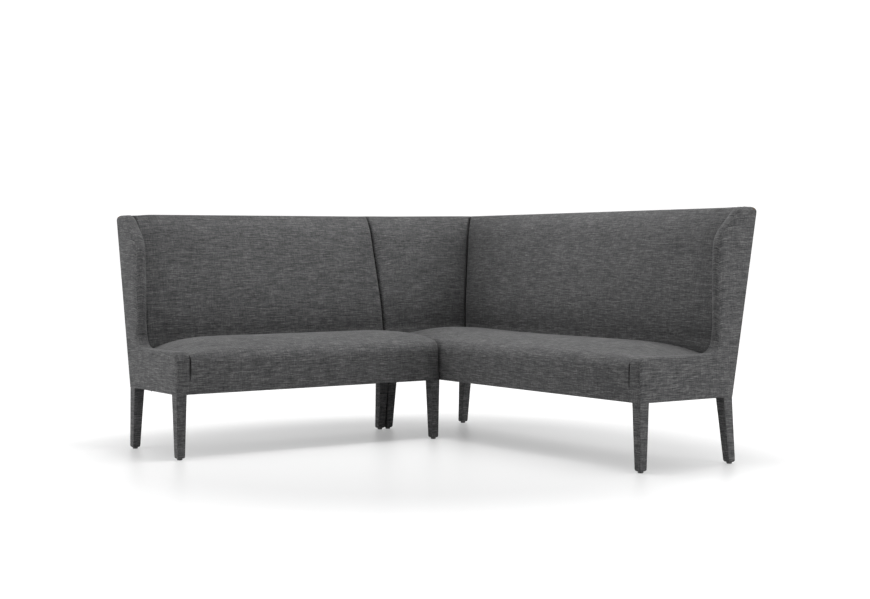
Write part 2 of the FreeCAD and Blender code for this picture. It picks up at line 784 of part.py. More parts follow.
def back_path(bulge, inset, low):
    """The back's surface from low in front, up its crowned face and over its rounded top to the rear.

    Behind the seat the face is flat. The crown starts above it."""
    thick = size.back_thickness - inset
    top = size.total_height - inset
    roll = size.back_top_roll
    roll_low = size.total_height - roll
    middle = (size.back_face_low + roll_low) / 2
    top_front = rear(size.total_height) - size.back_top_depth
    low_front = rear(roll_low) - thick
    share = ROUND_SHARE
    return [
        (rear(low) - thick, low),
        (rear(size.back_face_low) - thick, size.back_face_low),
        ("arc", rear(middle) - thick - bulge, middle),
        (low_front, roll_low),
        ("arc", top_front - (top_front - low_front) * share, roll_low + (top - roll_low) * share),
        (top_front, top),
        (rear(top) - size.cover - (inset if inset > size.cover else 0), top),
    ]


def back_forms(run, u_low, u_high):
    """A back's foam and its inside cover between two ends."""
    places = stations(u_low, u_high, size.crown_run, BULGE_RUN_SHARES)

    def bulge_at(u):
        low = size.back_end_bulge / size.back_bulge
        return size.back_bulge * swell(u, u_low, u_high, low, low, size.crown_run)

    def foam_outline(u):
        shelf = size.total_height - size.top_rail_drop + size.slack
        outline = back_path(bulge_at(u), inside, foam_low)
        outline[-1] = (rear(outline[-1][1]) - size.cover - size.back_board - size.slack, outline[-1][1])
        outline.append((rear(shelf) - size.cover - size.back_board - size.slack, shelf))
        outline.append((rear(shelf) - strap_front - size.slack, shelf))
        outline.append((rear(foam_low) - strap_front - size.slack, foam_low))
        return outline

    def cover_outline(u):
        outer = back_path(bulge_at(u), 0, size.tuck_height)
        inner = back_path(bulge_at(u), size.cover, size.tuck_height)
        return band(outer, inner)

    foam = loft(run, [min(max(u, u_low + size.slack), u_high - size.slack) for u in places], foam_outline)
    cover = loft(run, places, cover_outline)
    return foam, cover


def mitre(run, shape, inset):
    """The part of a back on its own side of the corner's diagonal, less an inset."""
    step = inset * math.sqrt(2)
    low = -size.underside_height
    corner = [(-overrun, -overrun), (overrun, overrun), (-overrun, overrun)]
    if run == "y":
        corner = [(-overrun, -overrun), (overrun, overrun), (overrun, -overrun)]
    shift = -step if run == "x" else step
    points = [Vector(x - centre_x + shift, y - centre_y, low) for x, y in corner]
    face = Part.Face(Part.Wire(path_edges(points + [points[0]])))
    return shape.common(face.extrude(Vector(0, 0, overrun)))


left_back_low = -size.left_length + size.end_width + size.slack
left_back_high = -size.joint_gap - size.cover
foam, cover = back_forms("x", left_back_low, left_back_high)
node(form("left_back", foam), "left_back_foam")
node(form("left_back_skin", cover), "left_inside_back_cover")
corner_end = rear(size.total_height)
foam, cover = back_forms("y", -size.right_length + size.end_width + size.slack, corner_end)
right_back_foam = mitre("y", foam, size.slack / 2).cut(behind_face("x", -size.back_thickness + slab_front))
node(form("right_back", right_back_foam), "right_back_foam")
node(form("right_back_skin", mitre("y", cover, size.slack / 2)), "right_inside_back_cover")
foam, cover = back_forms("x", size.cover, corner_end)
node(form("return_back", mitre("x", foam, size.slack / 2)), "right_return_back_foam")
node(form("return_back_skin", mitre("x", cover, size.slack / 2)), "right_return_inside_cover")


# Closing panels on the faces where the modules meet

def joint_panel(name, u_low, u_high, with_seat):
    panels = []
    back = back_path(size.back_end_bulge, 0, size.tuck_height)
    back[-1] = (rear(size.total_height) - size.cover, size.total_height)
    back.append((rear(size.underside_height) - size.cover, size.underside_height))
    back[0] = (rear(size.underside_height) - size.back_thickness, size.underside_height)
    panels.append(form(name + "_back", prism("x", u_low, u_high, back)))
    if with_seat:
        seat = seat_path(size.left_crown - size.joint_end_drop, 0)
        seat_rear = rear(size.underside_height) - size.back_thickness - 2 * size.slack
        seat.append((seat_rear, size.underside_height))
        seat[0] = (0, size.underside_height)
        panels.append(form(name + "_seat", prism("x", u_low, u_high, seat)))
    return group(name, panels)


left_panels = joint_panel("left_joint_panels", -size.joint_gap - size.cover, -size.joint_gap, True)
node(left_panels, "left_joint_covers")
node(joint_panel("right_joint_panels", 0, size.cover, False), "right_joint_cover")


# Springs, clips, deck cloths and dust covers

def spring_shape(run, u):
    """A flat zigzag spring from the front rail to the rear rail: cross bars joined by round bends."""
    radius = size.spring_pitch / 2
    half = size.spring_width / 2 - radius
    z = rail_top + size.clip_height / 2
    first = skin + size.rail_thickness / 2
    last = rear(rail_top) - size.cover - size.back_board - size.rail_thickness / 2
    bars = int((last - first) / size.spring_pitch) + 1
    first = last - (bars - 1) * size.spring_pitch
    side = 1
    edges = []
    for index in range(bars):
        d = first + index * size.spring_pitch
        begin = spot(run, u - side * half, d, z)
        end = spot(run, u + side * half, d, z)
        edges.append(Part.LineSegment(begin, end).toShape())
        if index < bars - 1:
            bulge = u + side * (half + radius)
            bend = radius * ROUND_SHARE
            knee = spot(run, bulge, d + radius, z)
            before = spot(run, u + side * (half + bend), d + radius - bend, z)
            after = spot(run, u + side * (half + bend), d + radius + bend, z)
            finish = spot(run, u + side * half, d + 2 * radius, z)
            edges.append(Part.Arc(end, before, knee).toShape())
            edges.append(Part.Arc(knee, after, finish).toShape())
        side = -side
    path = Part.Wire(edges)
    start = path.Vertexes[0].Point
    across = edges[0].tangentAt(edges[0].FirstParameter)
    ring = Part.Wire(Part.makeCircle(size.spring_wire / 2, start, across))
    return path.makePipeShell([ring], True, False), first, last


def clip_shape(run, u, d, way):
    """A folded clip on a rail's top that holds a spring's end bar down."""
    wire = size.spring_wire / 2 + size.slack
    sheet_thick = size.clip_sheet
    foot = size.clip_length / 2
    top = rail_top + size.clip_height
    outline = [
        (d - way * foot, rail_top),
        (d - way * foot, top),
        (d + way * (wire + sheet_thick), top),
        (d + way * (wire + sheet_thick), top - sheet_thick),
        (d - way * wire, top - sheet_thick),
        (d - way * wire, rail_top),
    ]
    return prism(run, u - size.clip_width / 2, u + size.clip_width / 2, outline)


def suspension(module, run, u_low, u_high, count):
    """Springs at even places between two ends."""
    springs = []
    clips = []
    for index in range(count):
        u = u_low + (u_high - u_low) * (2 * index + 1) / (2 * count)
        shape, first, last = spring_shape(run, u)
        springs.append(form(module + "_spring_%d" % index, shape))
        clips.append(form(module + "_front_clip_%d" % index, clip_shape(run, u, first, 1)))
        clips.append(form(module + "_rear_clip_%d" % index, clip_shape(run, u, last, -1)))
    node(group(module + "_springs_group", springs), module + "_seat_springs")
    return clips


clips = suspension("left", "x", left_seat_low, left_seat_high, LEFT_SPRINGS)
corner_clear = rear(rail_top) - size.back_thickness
clips += suspension("right", "y", right_seat_low, corner_clear, RIGHT_SPRINGS)
node(group("spring_clips_group", clips), "spring_clips")

DECK_LOW = "(" + RAIL_TOP + " + clip_height + slack)"
DECK_TOP = "(" + RAIL_TOP + " + clip_height + slack + deck_cloth)"
deck_rear = rear_text(RAIL_TOP) + " - " + SLAB + " - webbing_thickness"
node(block("left_deck", "x", (LEFT_OUTER + " + end_width + slack", SKIN, DECK_LOW),
           (LEFT_JOINT + " - " + SKIN, deck_rear, DECK_TOP)), "left_deck_cloth")
node(block("right_deck", "y", (RIGHT_OUTER + " + end_width + slack", SKIN, DECK_LOW),
           (deck_rear, deck_rear, DECK_TOP)), "right_deck_cloth")


def dust_cover(module, run, low, high, corners):
    """The cloth under a seat, with its corners cut out round the legs."""
    sheet_item = block(module + "_dust", run, low + ("underside_height",), high + (RAIL_LOW,))
    holes = []
    for index, (u_way, d_way) in enumerate(corners):
        u_span = span(low[0] if u_way > 0 else high[0], u_way, "(0 - cover)", "(leg_top + slack)")
        d_span = span(low[1] if d_way > 0 else high[1], d_way, "(0 - cover)", "(leg_top + slack)")
        holes.append(block(module + "_dust_hole_%d" % index, run,
                           (u_span[0], d_span[0], "underside_height - cover"),
                           (u_span[1], d_span[1], RAIL_LOW + " + cover")))
    tools = fuse(module + "_dust_holes", holes)
    node(cut(module + "_dust_sheet", sheet_item, tools), module + "_dust_cover")


ALL_CORNERS = ((1, 1), (1, -1), (-1, 1), (-1, -1))
DEEP_SIDE = "(seat_depth - cover)"
dust_cover("left", "x", (LEFT_OUTER + " + cover", "cover"), (LEFT_JOINT + " - cover", DEEP_SIDE), ALL_CORNERS)
dust_cover("right", "y", (RIGHT_OUTER + " + cover", "cover"), (DEEP_SIDE, DEEP_SIDE), ALL_CORNERS)


# Link plates under the joint, with their screws

def link(index, d_text):
    """A flat plate under the left module's last rail and the right module's front rail."""
    low_z = "(underside_height - link_thickness)"
    plate = block("link_%d" % index, "x", ("(-link_length / 2)", d_text + " - link_width / 2", low_z),
                  ("(link_length / 2)", d_text + " + link_width / 2", "underside_height"))
    holes = []
    screws = []
    for side in (-1, 1):
        for step in (-1, 1):
            u = "(%d * (link_length / 2 - screw_inset))" % side
            d = "(" + d_text + " + %d * (link_width / 2 - screw_inset))" % step
            key = "%d_%d_%d" % (index, side + 1, step + 1)
            shank = rod("screw_shank_" + key, (u, d, low_z), Vector(0, 0, 1), "screw_radius",
                        "screw_length")
            head = rod("screw_head_" + key, (u, d, low_z), Vector(0, 0, -1), "screw_head_radius",
                       "screw_head_height")
            holes.append(rod("screw_hole_" + key, (u, d, low_z), Vector(0, 0, 1), "screw_radius + slack",
                             "screw_length + slack"))
            screws.append(fuse("screw_" + key, [shank, head]))
    return plate, holes, screws


plates = []
screw_holes = []
screws = []
for index, place in enumerate(("(0 + link_inset)", "(seat_depth - link_inset)")):
    plate, holes, plate_screws = link(index, place)
    plates.append(plate)
    screw_holes += holes
    screws += plate_screws
hole_tool = fuse("screw_holes", screw_holes)
node(group("link_plates_group", [cut("link_cut_%d" % index, plate, hole_tool)
                                 for index, plate in enumerate(plates)]), "link_plates")
node(group("link_screws_group", screws), "link_screws")
for label in ("left_dust_cover", "right_dust_cover", "left_cross_rails", "right_front_rail"):
    item = next(member for member in nodes if member.Label == label)
    item.Label = label + "_whole"
    nodes.remove(item)
    node(cut(label + "_drilled", item, hole_tool), label)

document.recompute()
problems = []
for item in document.Objects:
    if "Invalid" in item.State or "Error" in item.State:
        problems.append("%s (%s): %s" % (item.Name, item.Label, item.State))
for item in nodes:
    if item.Shape.isNull() or not item.Shape.isValid():
        problems.append("%s: bad shape" % item.Label)
if problems:
    raise SystemExit("\n".join(problems))

os.makedirs("parts", exist_ok=True)
for item in nodes:
    item.Shape.exportStep("parts/" + item.Label + ".step")
print(len(nodes), "nodes written")
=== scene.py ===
import json
import math
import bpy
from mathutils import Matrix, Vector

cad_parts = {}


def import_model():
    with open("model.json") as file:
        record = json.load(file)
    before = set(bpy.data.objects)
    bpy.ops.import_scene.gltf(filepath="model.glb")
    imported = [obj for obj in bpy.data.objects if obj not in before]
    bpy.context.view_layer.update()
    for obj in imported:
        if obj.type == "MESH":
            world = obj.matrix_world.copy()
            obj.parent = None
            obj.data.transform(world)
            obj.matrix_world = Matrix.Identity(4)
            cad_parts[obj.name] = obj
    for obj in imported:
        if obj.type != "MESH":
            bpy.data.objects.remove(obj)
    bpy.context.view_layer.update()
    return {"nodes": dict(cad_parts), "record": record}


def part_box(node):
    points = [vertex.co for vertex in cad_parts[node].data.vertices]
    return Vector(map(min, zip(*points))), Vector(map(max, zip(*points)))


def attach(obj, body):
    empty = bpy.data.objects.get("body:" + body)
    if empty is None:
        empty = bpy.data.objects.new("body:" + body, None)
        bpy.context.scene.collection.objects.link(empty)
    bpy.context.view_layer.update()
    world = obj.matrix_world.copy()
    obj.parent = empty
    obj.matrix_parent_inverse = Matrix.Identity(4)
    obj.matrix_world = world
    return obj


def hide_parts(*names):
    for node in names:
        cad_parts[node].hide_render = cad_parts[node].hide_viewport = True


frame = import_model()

import types

import bmesh
import bpy
import numpy as np
from mathutils import Matrix, Vector, noise

# Corner banquette bench in two upholstered modules, in metres.
# u runs along a seat towards the corner, d from its front to its back, and z up.
# Run "x" is the left module and the return back: u lies along X. Run "y" is the right module: u lies along Y.

outside_low, outside_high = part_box("left_outside_back_cover")
corner_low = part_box("right_outside_back_covers")[0]
# u is 0 at the joint between the modules and d is 0 at the fronts, on both runs
JOINT_X = corner_low.x
FRONT_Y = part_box("left_seat_cover")[0].y
GAP = JOINT_X - outside_high.x
# what two forms that meet leave free between them
SLACK = 0.0003

size = types.SimpleNamespace(
    top=outside_high.z,
    underside=outside_low.z,
    left=JOINT_X - outside_low.x,
    right=FRONT_Y - corner_low.y,
    depth=0.459,
    cover=0.002,
    slack=SLACK,
    board=0.004,
    strap_front=0.0355,
    deck=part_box("left_deck_cloth")[1].z + SLACK,
    skirt=0.0077,
    # seats
    left_crown=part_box("left_seat_cover")[1].z,
    right_crown=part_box("right_seat_cover")[1].z,
    crown_lift=-0.009,
    wing_end_drop=0.0445,
    joint_end_drop=0.0177,
    corner_end_drop=0.0223,
    crown_run=0.26,
    long_crown_run=0.36,
    right_rise=0.011,
    front_roll=0.036,
    front_roll_rise=0.037,
    front_top=0.417,
    rear_fall=0.014,
    # backs
    back=0.088,
    face_low=0.470,
    bulge=0.008,
    end_bulge=0.002,
    top_depth=0.054,
    long_roll=0.110,
    foot_roll=0.140,
    foot_fall=0.014,
    top_rail_drop=0.013,
    tuck=0.385,
    # end panels and wings
    end=0.057,
    arm=0.422,
    arm_corner=0.028,
    cove=0.050,
    wing_front=0.392,
    wing_hollow=0.005,
    shoulder=0.860,
    shoulder_reach=0.045,
    wing_top=0.500,
    top_corner=0.018,
    # the dark slot between a panel's front and the seat's front
    slot_low=0.306,
    slot_high=0.320,
    slot_top=0.408,
    slot_closing=0.006,
    slot_width=0.0062,
    slot_depth=0.07,
    # how far each module's padding stands back from the joint
    groove=0.0027,
    # how far the seam between the backs stands to the left of the joint, low and high
    seam_low=0.018,
    seam_high=0.040,
    # legs
    leg_top=0.045,
    leg_foot=0.033,
    foot_inset=0.021,
    splay=0.025,
    glide_height=0.008,
    foot_bevel=0.008,
)
size.lean = outside_high.y - FRONT_Y - size.depth

# the middle of a round corner, as a share of its radius from the corner's centre
ROUND_SHARE = math.sqrt(1 / 2)
# how steeply a cushion's crown comes up from its ends, and its longest run there as a share of the length
CROWN_POWER = 1.5
LONGEST_RUN_SHARE = 0.45
TINY = 1e-6


def share_of(value, low, high):
    """How far a value has come from low to high, between 0 and 1."""
    return min(max((value - low) / (high - low), 0.0), 1.0)


def end_share(distance, reach, power):
    """How much of an end's drop is left at a distance from that end."""
    return (1 - math.sin(share_of(distance, 0, reach) * math.pi / 2)) ** power


def rear(z):
    """Depth of the leaning rear face at a height."""
    return size.depth + size.lean * (z - size.underside) / (size.top - size.underside)


def spot(run, u, d, z):
    """A run's place in the scene."""
    if run == "x":
        return (JOINT_X + u, FRONT_Y + d, z)
    return (JOINT_X + d, FRONT_Y + u, z)


def on_run(run, x, y):
    """u and d of a place in the scene."""
    if run == "x":
        return (x - JOINT_X, y - FRONT_Y)
    return (y - FRONT_Y, x - JOINT_X)


def constant(value):
    """The same value at every depth and height."""
    return lambda d, z: value


# Outlines across a module, as corners and arcs, and their dense points

LEAST_ARC_POINTS = 5


def arc_points(a, m, b, count):
    """count points from a towards b, without b, on the circle through m."""
    (ax, ay), (mx, my), (bx, by) = a, m, b
    turn = 2 * (ax * (my - by) + mx * (by - ay) + bx * (ay - my))
    squares = [x * x + y * y for x, y in (a, m, b)]
    cx = (squares[0] * (my - by) + squares[1] * (by - ay) + squares[2] * (ay - my)) / turn
    cy = (squares[0] * (bx - mx) + squares[1] * (ax - bx) + squares[2] * (mx - ax)) / turn
    radius = math.hypot(ax - cx, ay - cy)
    angles = [math.atan2(y - cy, x - cx) for x, y in (a, m, b)]
    sweep = (angles[2] - angles[0]) % math.tau
    if (angles[1] - angles[0]) % math.tau > sweep:
        sweep -= math.tau
    steps = [angles[0] + sweep * index / count for index in range(count)]
    return [(cx + radius * math.cos(angle), cy + radius * math.sin(angle)) for angle in steps]


def stretches_of(outline):
    """The outline's stretches, each as its start, its middle if it is an arc, and its end."""
    stretches = []
    points = outline + [outline[0]]
    index = 0
    while index < len(points) - 1:
        if points[index + 1][0] == "arc":
            stretches.append((points[index], points[index + 1][1:], points[index + 2]))
            index += 2
        else:
            stretches.append((points[index], None, points[index + 1]))
            index += 1
    return stretches


def counts_of(outline, step):
    """How many points each stretch gets, for points about a step apart."""
    counts = []
    for a, m, b in stretches_of(outline):
        if m is None:
            counts.append(max(1, round(math.dist(a, b) / step)))
        else:
            counts.append(max(LEAST_ARC_POINTS, round((math.dist(a, m) + math.dist(m, b)) / step)))
    return counts


def trace(outline, counts):
    """The outline's points, as many on each stretch as counts says."""
    points = []
    for (a, m, b), count in zip(stretches_of(outline), counts):
        if m is None:
            (ax, ay), (bx, by) = a, b
            points += [(ax + (bx - ax) * i / count, ay + (by - ay) * i / count) for i in range(count)]
        else:
            points += arc_points(a, m, b, count)
    return np.array(points)


def inward(points):
    """Unit vectors into the outline, whose points run clockwise with d to the right and z up."""
    along = np.roll(points, -1, axis=0) - np.roll(points, 1, axis=0)
    along /= np.maximum(np.linalg.norm(along, axis=1), 1e-9)[:, None]
    return np.stack([along[:, 1], -along[:, 0]], axis=1)


# Meshes

def stitch(bm, rings):
    """Faces between each ring of vertices and the next."""
    for ring, following in zip(rings, rings[1:]):
        for index in range(len(ring)):
            after = (index + 1) % len(ring)
            bm.faces.new((ring[index], ring[after], following[after], following[index]))


def cap(bm, rings):
    """The two faces that close the first and the last ring."""
    return [bm.faces.new(rings[0]), bm.faces.new(rings[-1])]


def outward(bm):
    bmesh.ops.recalc_face_normals(bm, faces=bm.faces)


def finish_mesh(bm, name):
    """Turns a bmesh into an object of the scene."""
    mesh = bpy.data.meshes.new(name)
    bm.to_mesh(mesh)
    bm.free()
    piece = bpy.data.objects.new(name, mesh)
    bpy.context.scene.collection.objects.link(piece)
    return piece


def vectors(items, key):
    """One vector of each item, as rows."""
    values = np.empty(len(items) * 3)
    items.foreach_get(key, values)
    return values.reshape(-1, 3)


def coordinates(piece):
    return vectors(piece.data.vertices, "co")


def set_coordinates(piece, values):
    piece.data.vertices.foreach_set("co", values.ravel())
    piece.data.update()


def smooth(piece, sharp_degrees=50):
    piece.data.shade_smooth()
    piece.data.set_sharp_from_angle(angle=math.radians(sharp_degrees))


def modify(piece, kind, **settings):
    """Applies one modifier with these settings."""
    modifier = piece.modifiers.new(kind, kind)
    for key, value in settings.items():
        setattr(modifier, key, value)
    graph = bpy.context.evaluated_depsgraph_get()
    graph.update()
    mesh = bpy.data.meshes.new_from_object(piece.evaluated_get(graph))
    piece.modifiers.clear()
    old = piece.data
    piece.data = mesh
    bpy.data.meshes.remove(old)
    mesh.name = piece.name


def thicken(piece, thickness):
    """Gives a skin its thickness, towards its inside."""
    modify(piece, "SOLIDIFY", thickness=thickness, offset=-1.0, use_even_offset=False)


def crease_edges(piece, degrees):
    """Keeps edges sharper than an angle when the mesh is subdivided."""
    bm = bmesh.new()
    bm.from_mesh(piece.data)
    layer = bm.edges.layers.float.get("crease_edge") or bm.edges.layers.float.new("crease_edge")
    for edge in bm.edges:
        if len(edge.link_faces) != 2 or edge.calc_face_angle(0.0) > math.radians(degrees):
            edge[layer] = 1.0
    bm.to_mesh(piece.data)
    bm.free()


# Closed padded forms

STEP = 0.012
ROUND_ANGLES = [math.radians(angle) for angle in (0, 22, 45, 68, 90)]
THIN_EDGE = 0.0006


def ring_places(low_mark, high_mark):
    """A form's rings: which part of it each is in, its angle or its share there, and its mark along u."""
    middle = max(2, round((high_mark - low_mark) / STEP))
    shares = [index / middle for index in range(1, middle)]
    places = [("low", angle, low_mark) for angle in ROUND_ANGLES]
    places += [("middle", share, low_mark + (high_mark - low_mark) * share) for share in shares]
    places += [("high", angle, high_mark) for angle in reversed(ROUND_ANGLES)]
    return places


def along_form(part, value, low, high, low_radius, high_radius):
    """u of a ring's point between a form's ends, and how far the point lies inside the outline."""
    if part == "low":
        return low + low_radius * (1 - math.cos(value)), low_radius * (1 - math.sin(value))
    if part == "high":
        return high - high_radius * (1 - math.cos(value)), high_radius * (1 - math.sin(value))
    return low + low_radius + (high - high_radius - low - low_radius) * value, 0.0


def quilt(name, run, outline_at, low_end, high_end, skin_stretches, low_round, high_round):
    """A closed form through outlines along u.

    outline_at gives the outline at u. low_end and high_end give where the form ends, for each (d, z).
    The first skin_stretches of the outline are its outer skin, which is rounded over at the ends by
    low_round and high_round, given for each (d, z). Returns the object, and for each vertex whether it
    is on the skin and how far it is from the nearest end."""
    low_mark = low_end(0.0, size.face_low)
    high_mark = high_end(rear(size.face_low) - size.back, size.face_low)
    counts = counts_of(outline_at((low_mark + high_mark) / 2), STEP)
    skin_count = sum(counts[:skin_stretches]) + 1
    bm = bmesh.new()
    rings = []
    skins = []
    edges = []
    for part, value, u_mark in ring_places(low_mark, high_mark):
        points = trace(outline_at(u_mark), counts)
        ring = []
        for index, ((d, z), normal) in enumerate(zip(points, inward(points))):
            on_skin = index < skin_count
            low = low_end(d, z)
            high = high_end(d, z)
            low_radius = low_round(d, z) if on_skin else THIN_EDGE
            high_radius = high_round(d, z) if on_skin else THIN_EDGE
            u, inset = along_form(part, value, low, high, low_radius, high_radius)
            ring.append(bm.verts.new(spot(run, u, d + normal[0] * inset, z + normal[1] * inset)))
            skins.append(on_skin)
            edges.append(min(u - low, high - u))
        rings.append(ring)
    stitch(bm, rings)
    bmesh.ops.triangulate(bm, faces=cap(bm, rings))
    outward(bm)
    return finish_mesh(bm, name), np.array(skins), np.array(edges)


# Cloth under pressure, for the seats and the backs

SIM_FRAMES = 20
# how far the cloth may move a point, and the share of points in percent that may come up to it
MOST_MOVE = 0.005
FULL_SHARE = 97
CLOTH_SETTINGS = {
    "quality": 6,
    "mass": 0.3,
    "tension_stiffness": 40,
    "compression_stiffness": 40,
    "shear_stiffness": 20,
    "bending_stiffness": 4,
    "air_damping": 2,
    "use_pressure": True,
    "uniform_pressure_force": 1.0,
    "vertex_group_mass": "pins",
}


def add_cloth(piece, pins):
    """Cloth over a whole piece, held where pins says."""
    group = piece.vertex_groups.new(name="pins")
    group.add([int(index) for index in np.flatnonzero(pins)], 1.0, "REPLACE")
    cloth = piece.modifiers.new("cloth", "CLOTH")
    for key, value in CLOTH_SETTINGS.items():
        setattr(cloth.settings, key, value)
    cloth.settings.effector_weights.gravity = 0.0
    cloth.collision_settings.use_collision = False
    cloth.point_cache.frame_start = 1
    cloth.point_cache.frame_end = SIM_FRAMES


def puff(pieces):
    """Runs the cloth on all the pieces at once, then keeps each point's move, up to a limit."""
    starts = {piece: coordinates(piece) for piece in pieces}
    for frame_number in range(1, SIM_FRAMES + 1):
        bpy.context.scene.frame_set(frame_number)
    graph = bpy.context.evaluated_depsgraph_get()
    results = {}
    for piece in pieces:
        mesh = piece.evaluated_get(graph).to_mesh()
        results[piece] = vectors(mesh.vertices, "co")
    for piece in pieces:
        piece.modifiers.remove(piece.modifiers["cloth"])
        piece.vertex_groups.clear()
        moves = results[piece] - starts[piece]
        lengths = np.maximum(np.linalg.norm(moves, axis=1), 1e-9)
        lengths_kept = lengths * min(MOST_MOVE / np.percentile(lengths, FULL_SHARE), 1.0)
        kept = MOST_MOVE * np.tanh(lengths_kept / MOST_MOVE)
        set_coordinates(piece, starts[piece] + moves * (kept / lengths)[:, None])
    bpy.context.scene.frame_set(1)


UNEVEN_SIZE = 0.0009
UNEVEN_SCALE = 9.0
FINE_UNEVEN_SHARE = 0.3
FINE_UNEVEN_SCALE = 3.7


def uneven(piece, weights=1.0):
    """Slight hollows and swells over the padding, from smooth noise that is the same in every run."""
    values = coordinates(piece)
    normals = vectors(piece.data.vertex_normals, "vector")
    heights = np.empty(len(values))
    for index, value in enumerate(values):
        place = Vector(value) * UNEVEN_SCALE
        heights[index] = noise.noise(place) + FINE_UNEVEN_SHARE * noise.noise(place * FINE_UNEVEN_SCALE)
    heights *= weights
    set_coordinates(piece, values + normals * (heights * UNEVEN_SIZE)[:, None])


# Seats

LEFT_START = -size.left + size.end + size.slack
RIGHT_START = -size.right + size.end + size.slack
# how far the left seat's front stands short of the joint, from which depths and height on
JOINT_CLEARANCE = 0.0045
CLEARANCE_DEPTH = (0.014, 0.034)
CLEARANCE_RISE = 0.04
# the right seat's front stands back where the left seat hides it, so the joint is deep
JOINT_RECESS = 0.005
RECESS_PLACES = (-0.002, 0.004)
RIGHT_DROP_SHARE = 0.9
# where the right seat comes up towards the corner, from its end panel on
RISE_PLACES = (1.10, 1.65)
ROLL_ANGLES = [math.radians(angle) for angle in (0, 11, 22, 34, 45, 56, 67, 78, 90)]
TOP_SHARES = (0.04, 0.09, 0.15, 0.22, 0.30, 0.38, 0.46, 0.54, 0.62, 0.70, 0.78, 0.86, 0.94, 1)
CROWN_PLACE = 0.55
# how many stretches of a seat's outline are its outer skin
SEAT_SKIN = len(ROLL_ANGLES) + len(TOP_SHARES) + 2
DECK_CLEARANCE = 0.003
SLOT_EDGE_ROUND = 0.0022
SEAT_JOINT_ROUND = 0.0045
SEAT_CORNER_ROUND = 0.004
# the strips of a seat's cover that are held: at its foot, behind under the back, and at its ends
SEAT_FOOT_PIN = 0.004
SEAT_TUCK_PIN = 0.006
SEAT_END_PIN = 0.007


def top_height(share, crown):
    """Height of a seat's top at a share of its depth: level at the crown, lower in front and behind."""
    if share < CROWN_PLACE:
        return size.front_top + (crown - size.front_top) * math.sin(share / CROWN_PLACE * math.pi / 2)
    return crown - size.rear_fall * ((share - CROWN_PLACE) / (1 - CROWN_PLACE)) ** 2


def seat_outline(crown, recess):
    """A seat's outline at a height of its crown. recess sets its lower front back, behind the joint."""
    back_height = crown - size.rear_fall
    clearance = size.back + 2 * size.slack
    rear_end = rear(back_height) - clearance + size.foot_fall / 2
    roll = []
    for angle in ROLL_ANGLES:
        d = size.front_roll * (1 - math.cos(angle))
        z = top_height(d / rear_end, crown) - size.front_roll_rise * (1 - math.sin(angle))
        roll.append((d + recess * math.cos(angle), z))
    top = []
    for share in TOP_SHARES:
        d = size.front_roll + (rear_end - size.front_roll) * share
        top.append((d, top_height(d / rear_end, crown)))
    return [
        (recess, size.underside),
        *roll,
        *top,
        (rear(size.deck) - clearance, size.deck),
        (size.skirt, size.deck),
        (size.skirt, size.underside),
    ]


def left_height(u):
    """The left seat's height along its run."""
    wing_drop = size.wing_end_drop * end_share(u - LEFT_START, size.crown_run, CROWN_POWER)
    joint_drop = size.joint_end_drop * end_share(-GAP - u, size.crown_run, CROWN_POWER)
    return size.left_crown + size.crown_lift - wing_drop - joint_drop


def right_height(u):
    """The right seat's height along its run: highest towards the corner."""
    near = u - RIGHT_START
    wing_drop = size.wing_end_drop * RIGHT_DROP_SHARE * end_share(near, size.long_crown_run, 1)
    far = rear(size.right_crown) - size.back - u
    corner_drop = size.corner_end_drop * end_share(far, size.crown_run, CROWN_POWER)
    level_drop = size.right_rise * (1 - share_of(near, *RISE_PLACES))
    return size.right_crown + size.crown_lift - wing_drop - corner_drop - level_drop


def slot_gap(d, z):
    """How far a seat's end stands back from its panel, along the dark slot."""
    open_share = share_of(z, size.slot_low, size.slot_high)
    deep = size.slot_depth if z > size.deck + DECK_CLEARANCE else size.skirt
    depth_share = share_of(deep - d, 0, min(size.front_roll, deep / 2))
    closed = share_of(z, size.slot_top - size.slot_closing, size.slot_top)
    return size.slot_width * open_share * depth_share * (1 - closed)


def seat(name, run, low, high_end, height_at, high_radius):
    """A seat's padded form from its end panel to its far end, and which of its points are held."""

    def outline_at(u):
        return seat_outline(height_at(u), JOINT_RECESS * share_of(u, *RECESS_PLACES))

    def low_end(d, z):
        return low + slot_gap(d, z)

    def low_round(d, z):
        """Closed below the slot, and open along it."""
        return THIN_EDGE + SLOT_EDGE_ROUND * share_of(z, size.slot_low, size.slot_high)

    piece, skins, edges = quilt(name, run, outline_at, low_end, high_end, SEAT_SKIN,
                                low_round, constant(high_radius))
    values = coordinates(piece)
    deep = on_run(run, values[:, 0], values[:, 1])[1]
    at_foot = values[:, 2] < size.underside + SEAT_FOOT_PIN
    tucked = deep > rear(size.tuck) - size.back - SEAT_TUCK_PIN
    return piece, ~skins | at_foot | tucked | (edges < SEAT_END_PIN)


def seat_joint(d, z):
    """Where the left seat ends at the joint: a little short of it in front, down to the base."""
    share = share_of(z, size.underside, size.underside + CLEARANCE_RISE)
    return -GAP - JOINT_CLEARANCE * share * (1 - share_of(d, *CLEARANCE_DEPTH))


def return_face(d, z):
    """Where the right seat ends, at the return back."""
    return rear(z) - size.back - 2 * size.slack


# Backs

# from which depth behind the faces the groove between the backs closes, and how closely
GROOVE_DEPTH = (0.014, 0.030)
TOUCH = 0.0001
# heights of a back's face, as shares of its height, and how sharply it turns at its top
FACE_SHARES = (0, 0.03, 0.06, 0.09, 0.12, 0.16, 0.20, 0.25, 0.30, 0.35, 0.40, 0.45, 0.50, 0.55, 0.60, 0.65,
               0.70, 0.74, 0.78, 0.81, 0.84, 0.87, 0.895, 0.92, 0.94, 0.96, 0.975, 0.99, 1)
ROLL_POWER = 2.6
BACK_ROUND = 0.012
BACK_JOINT_ROUND = 0.017
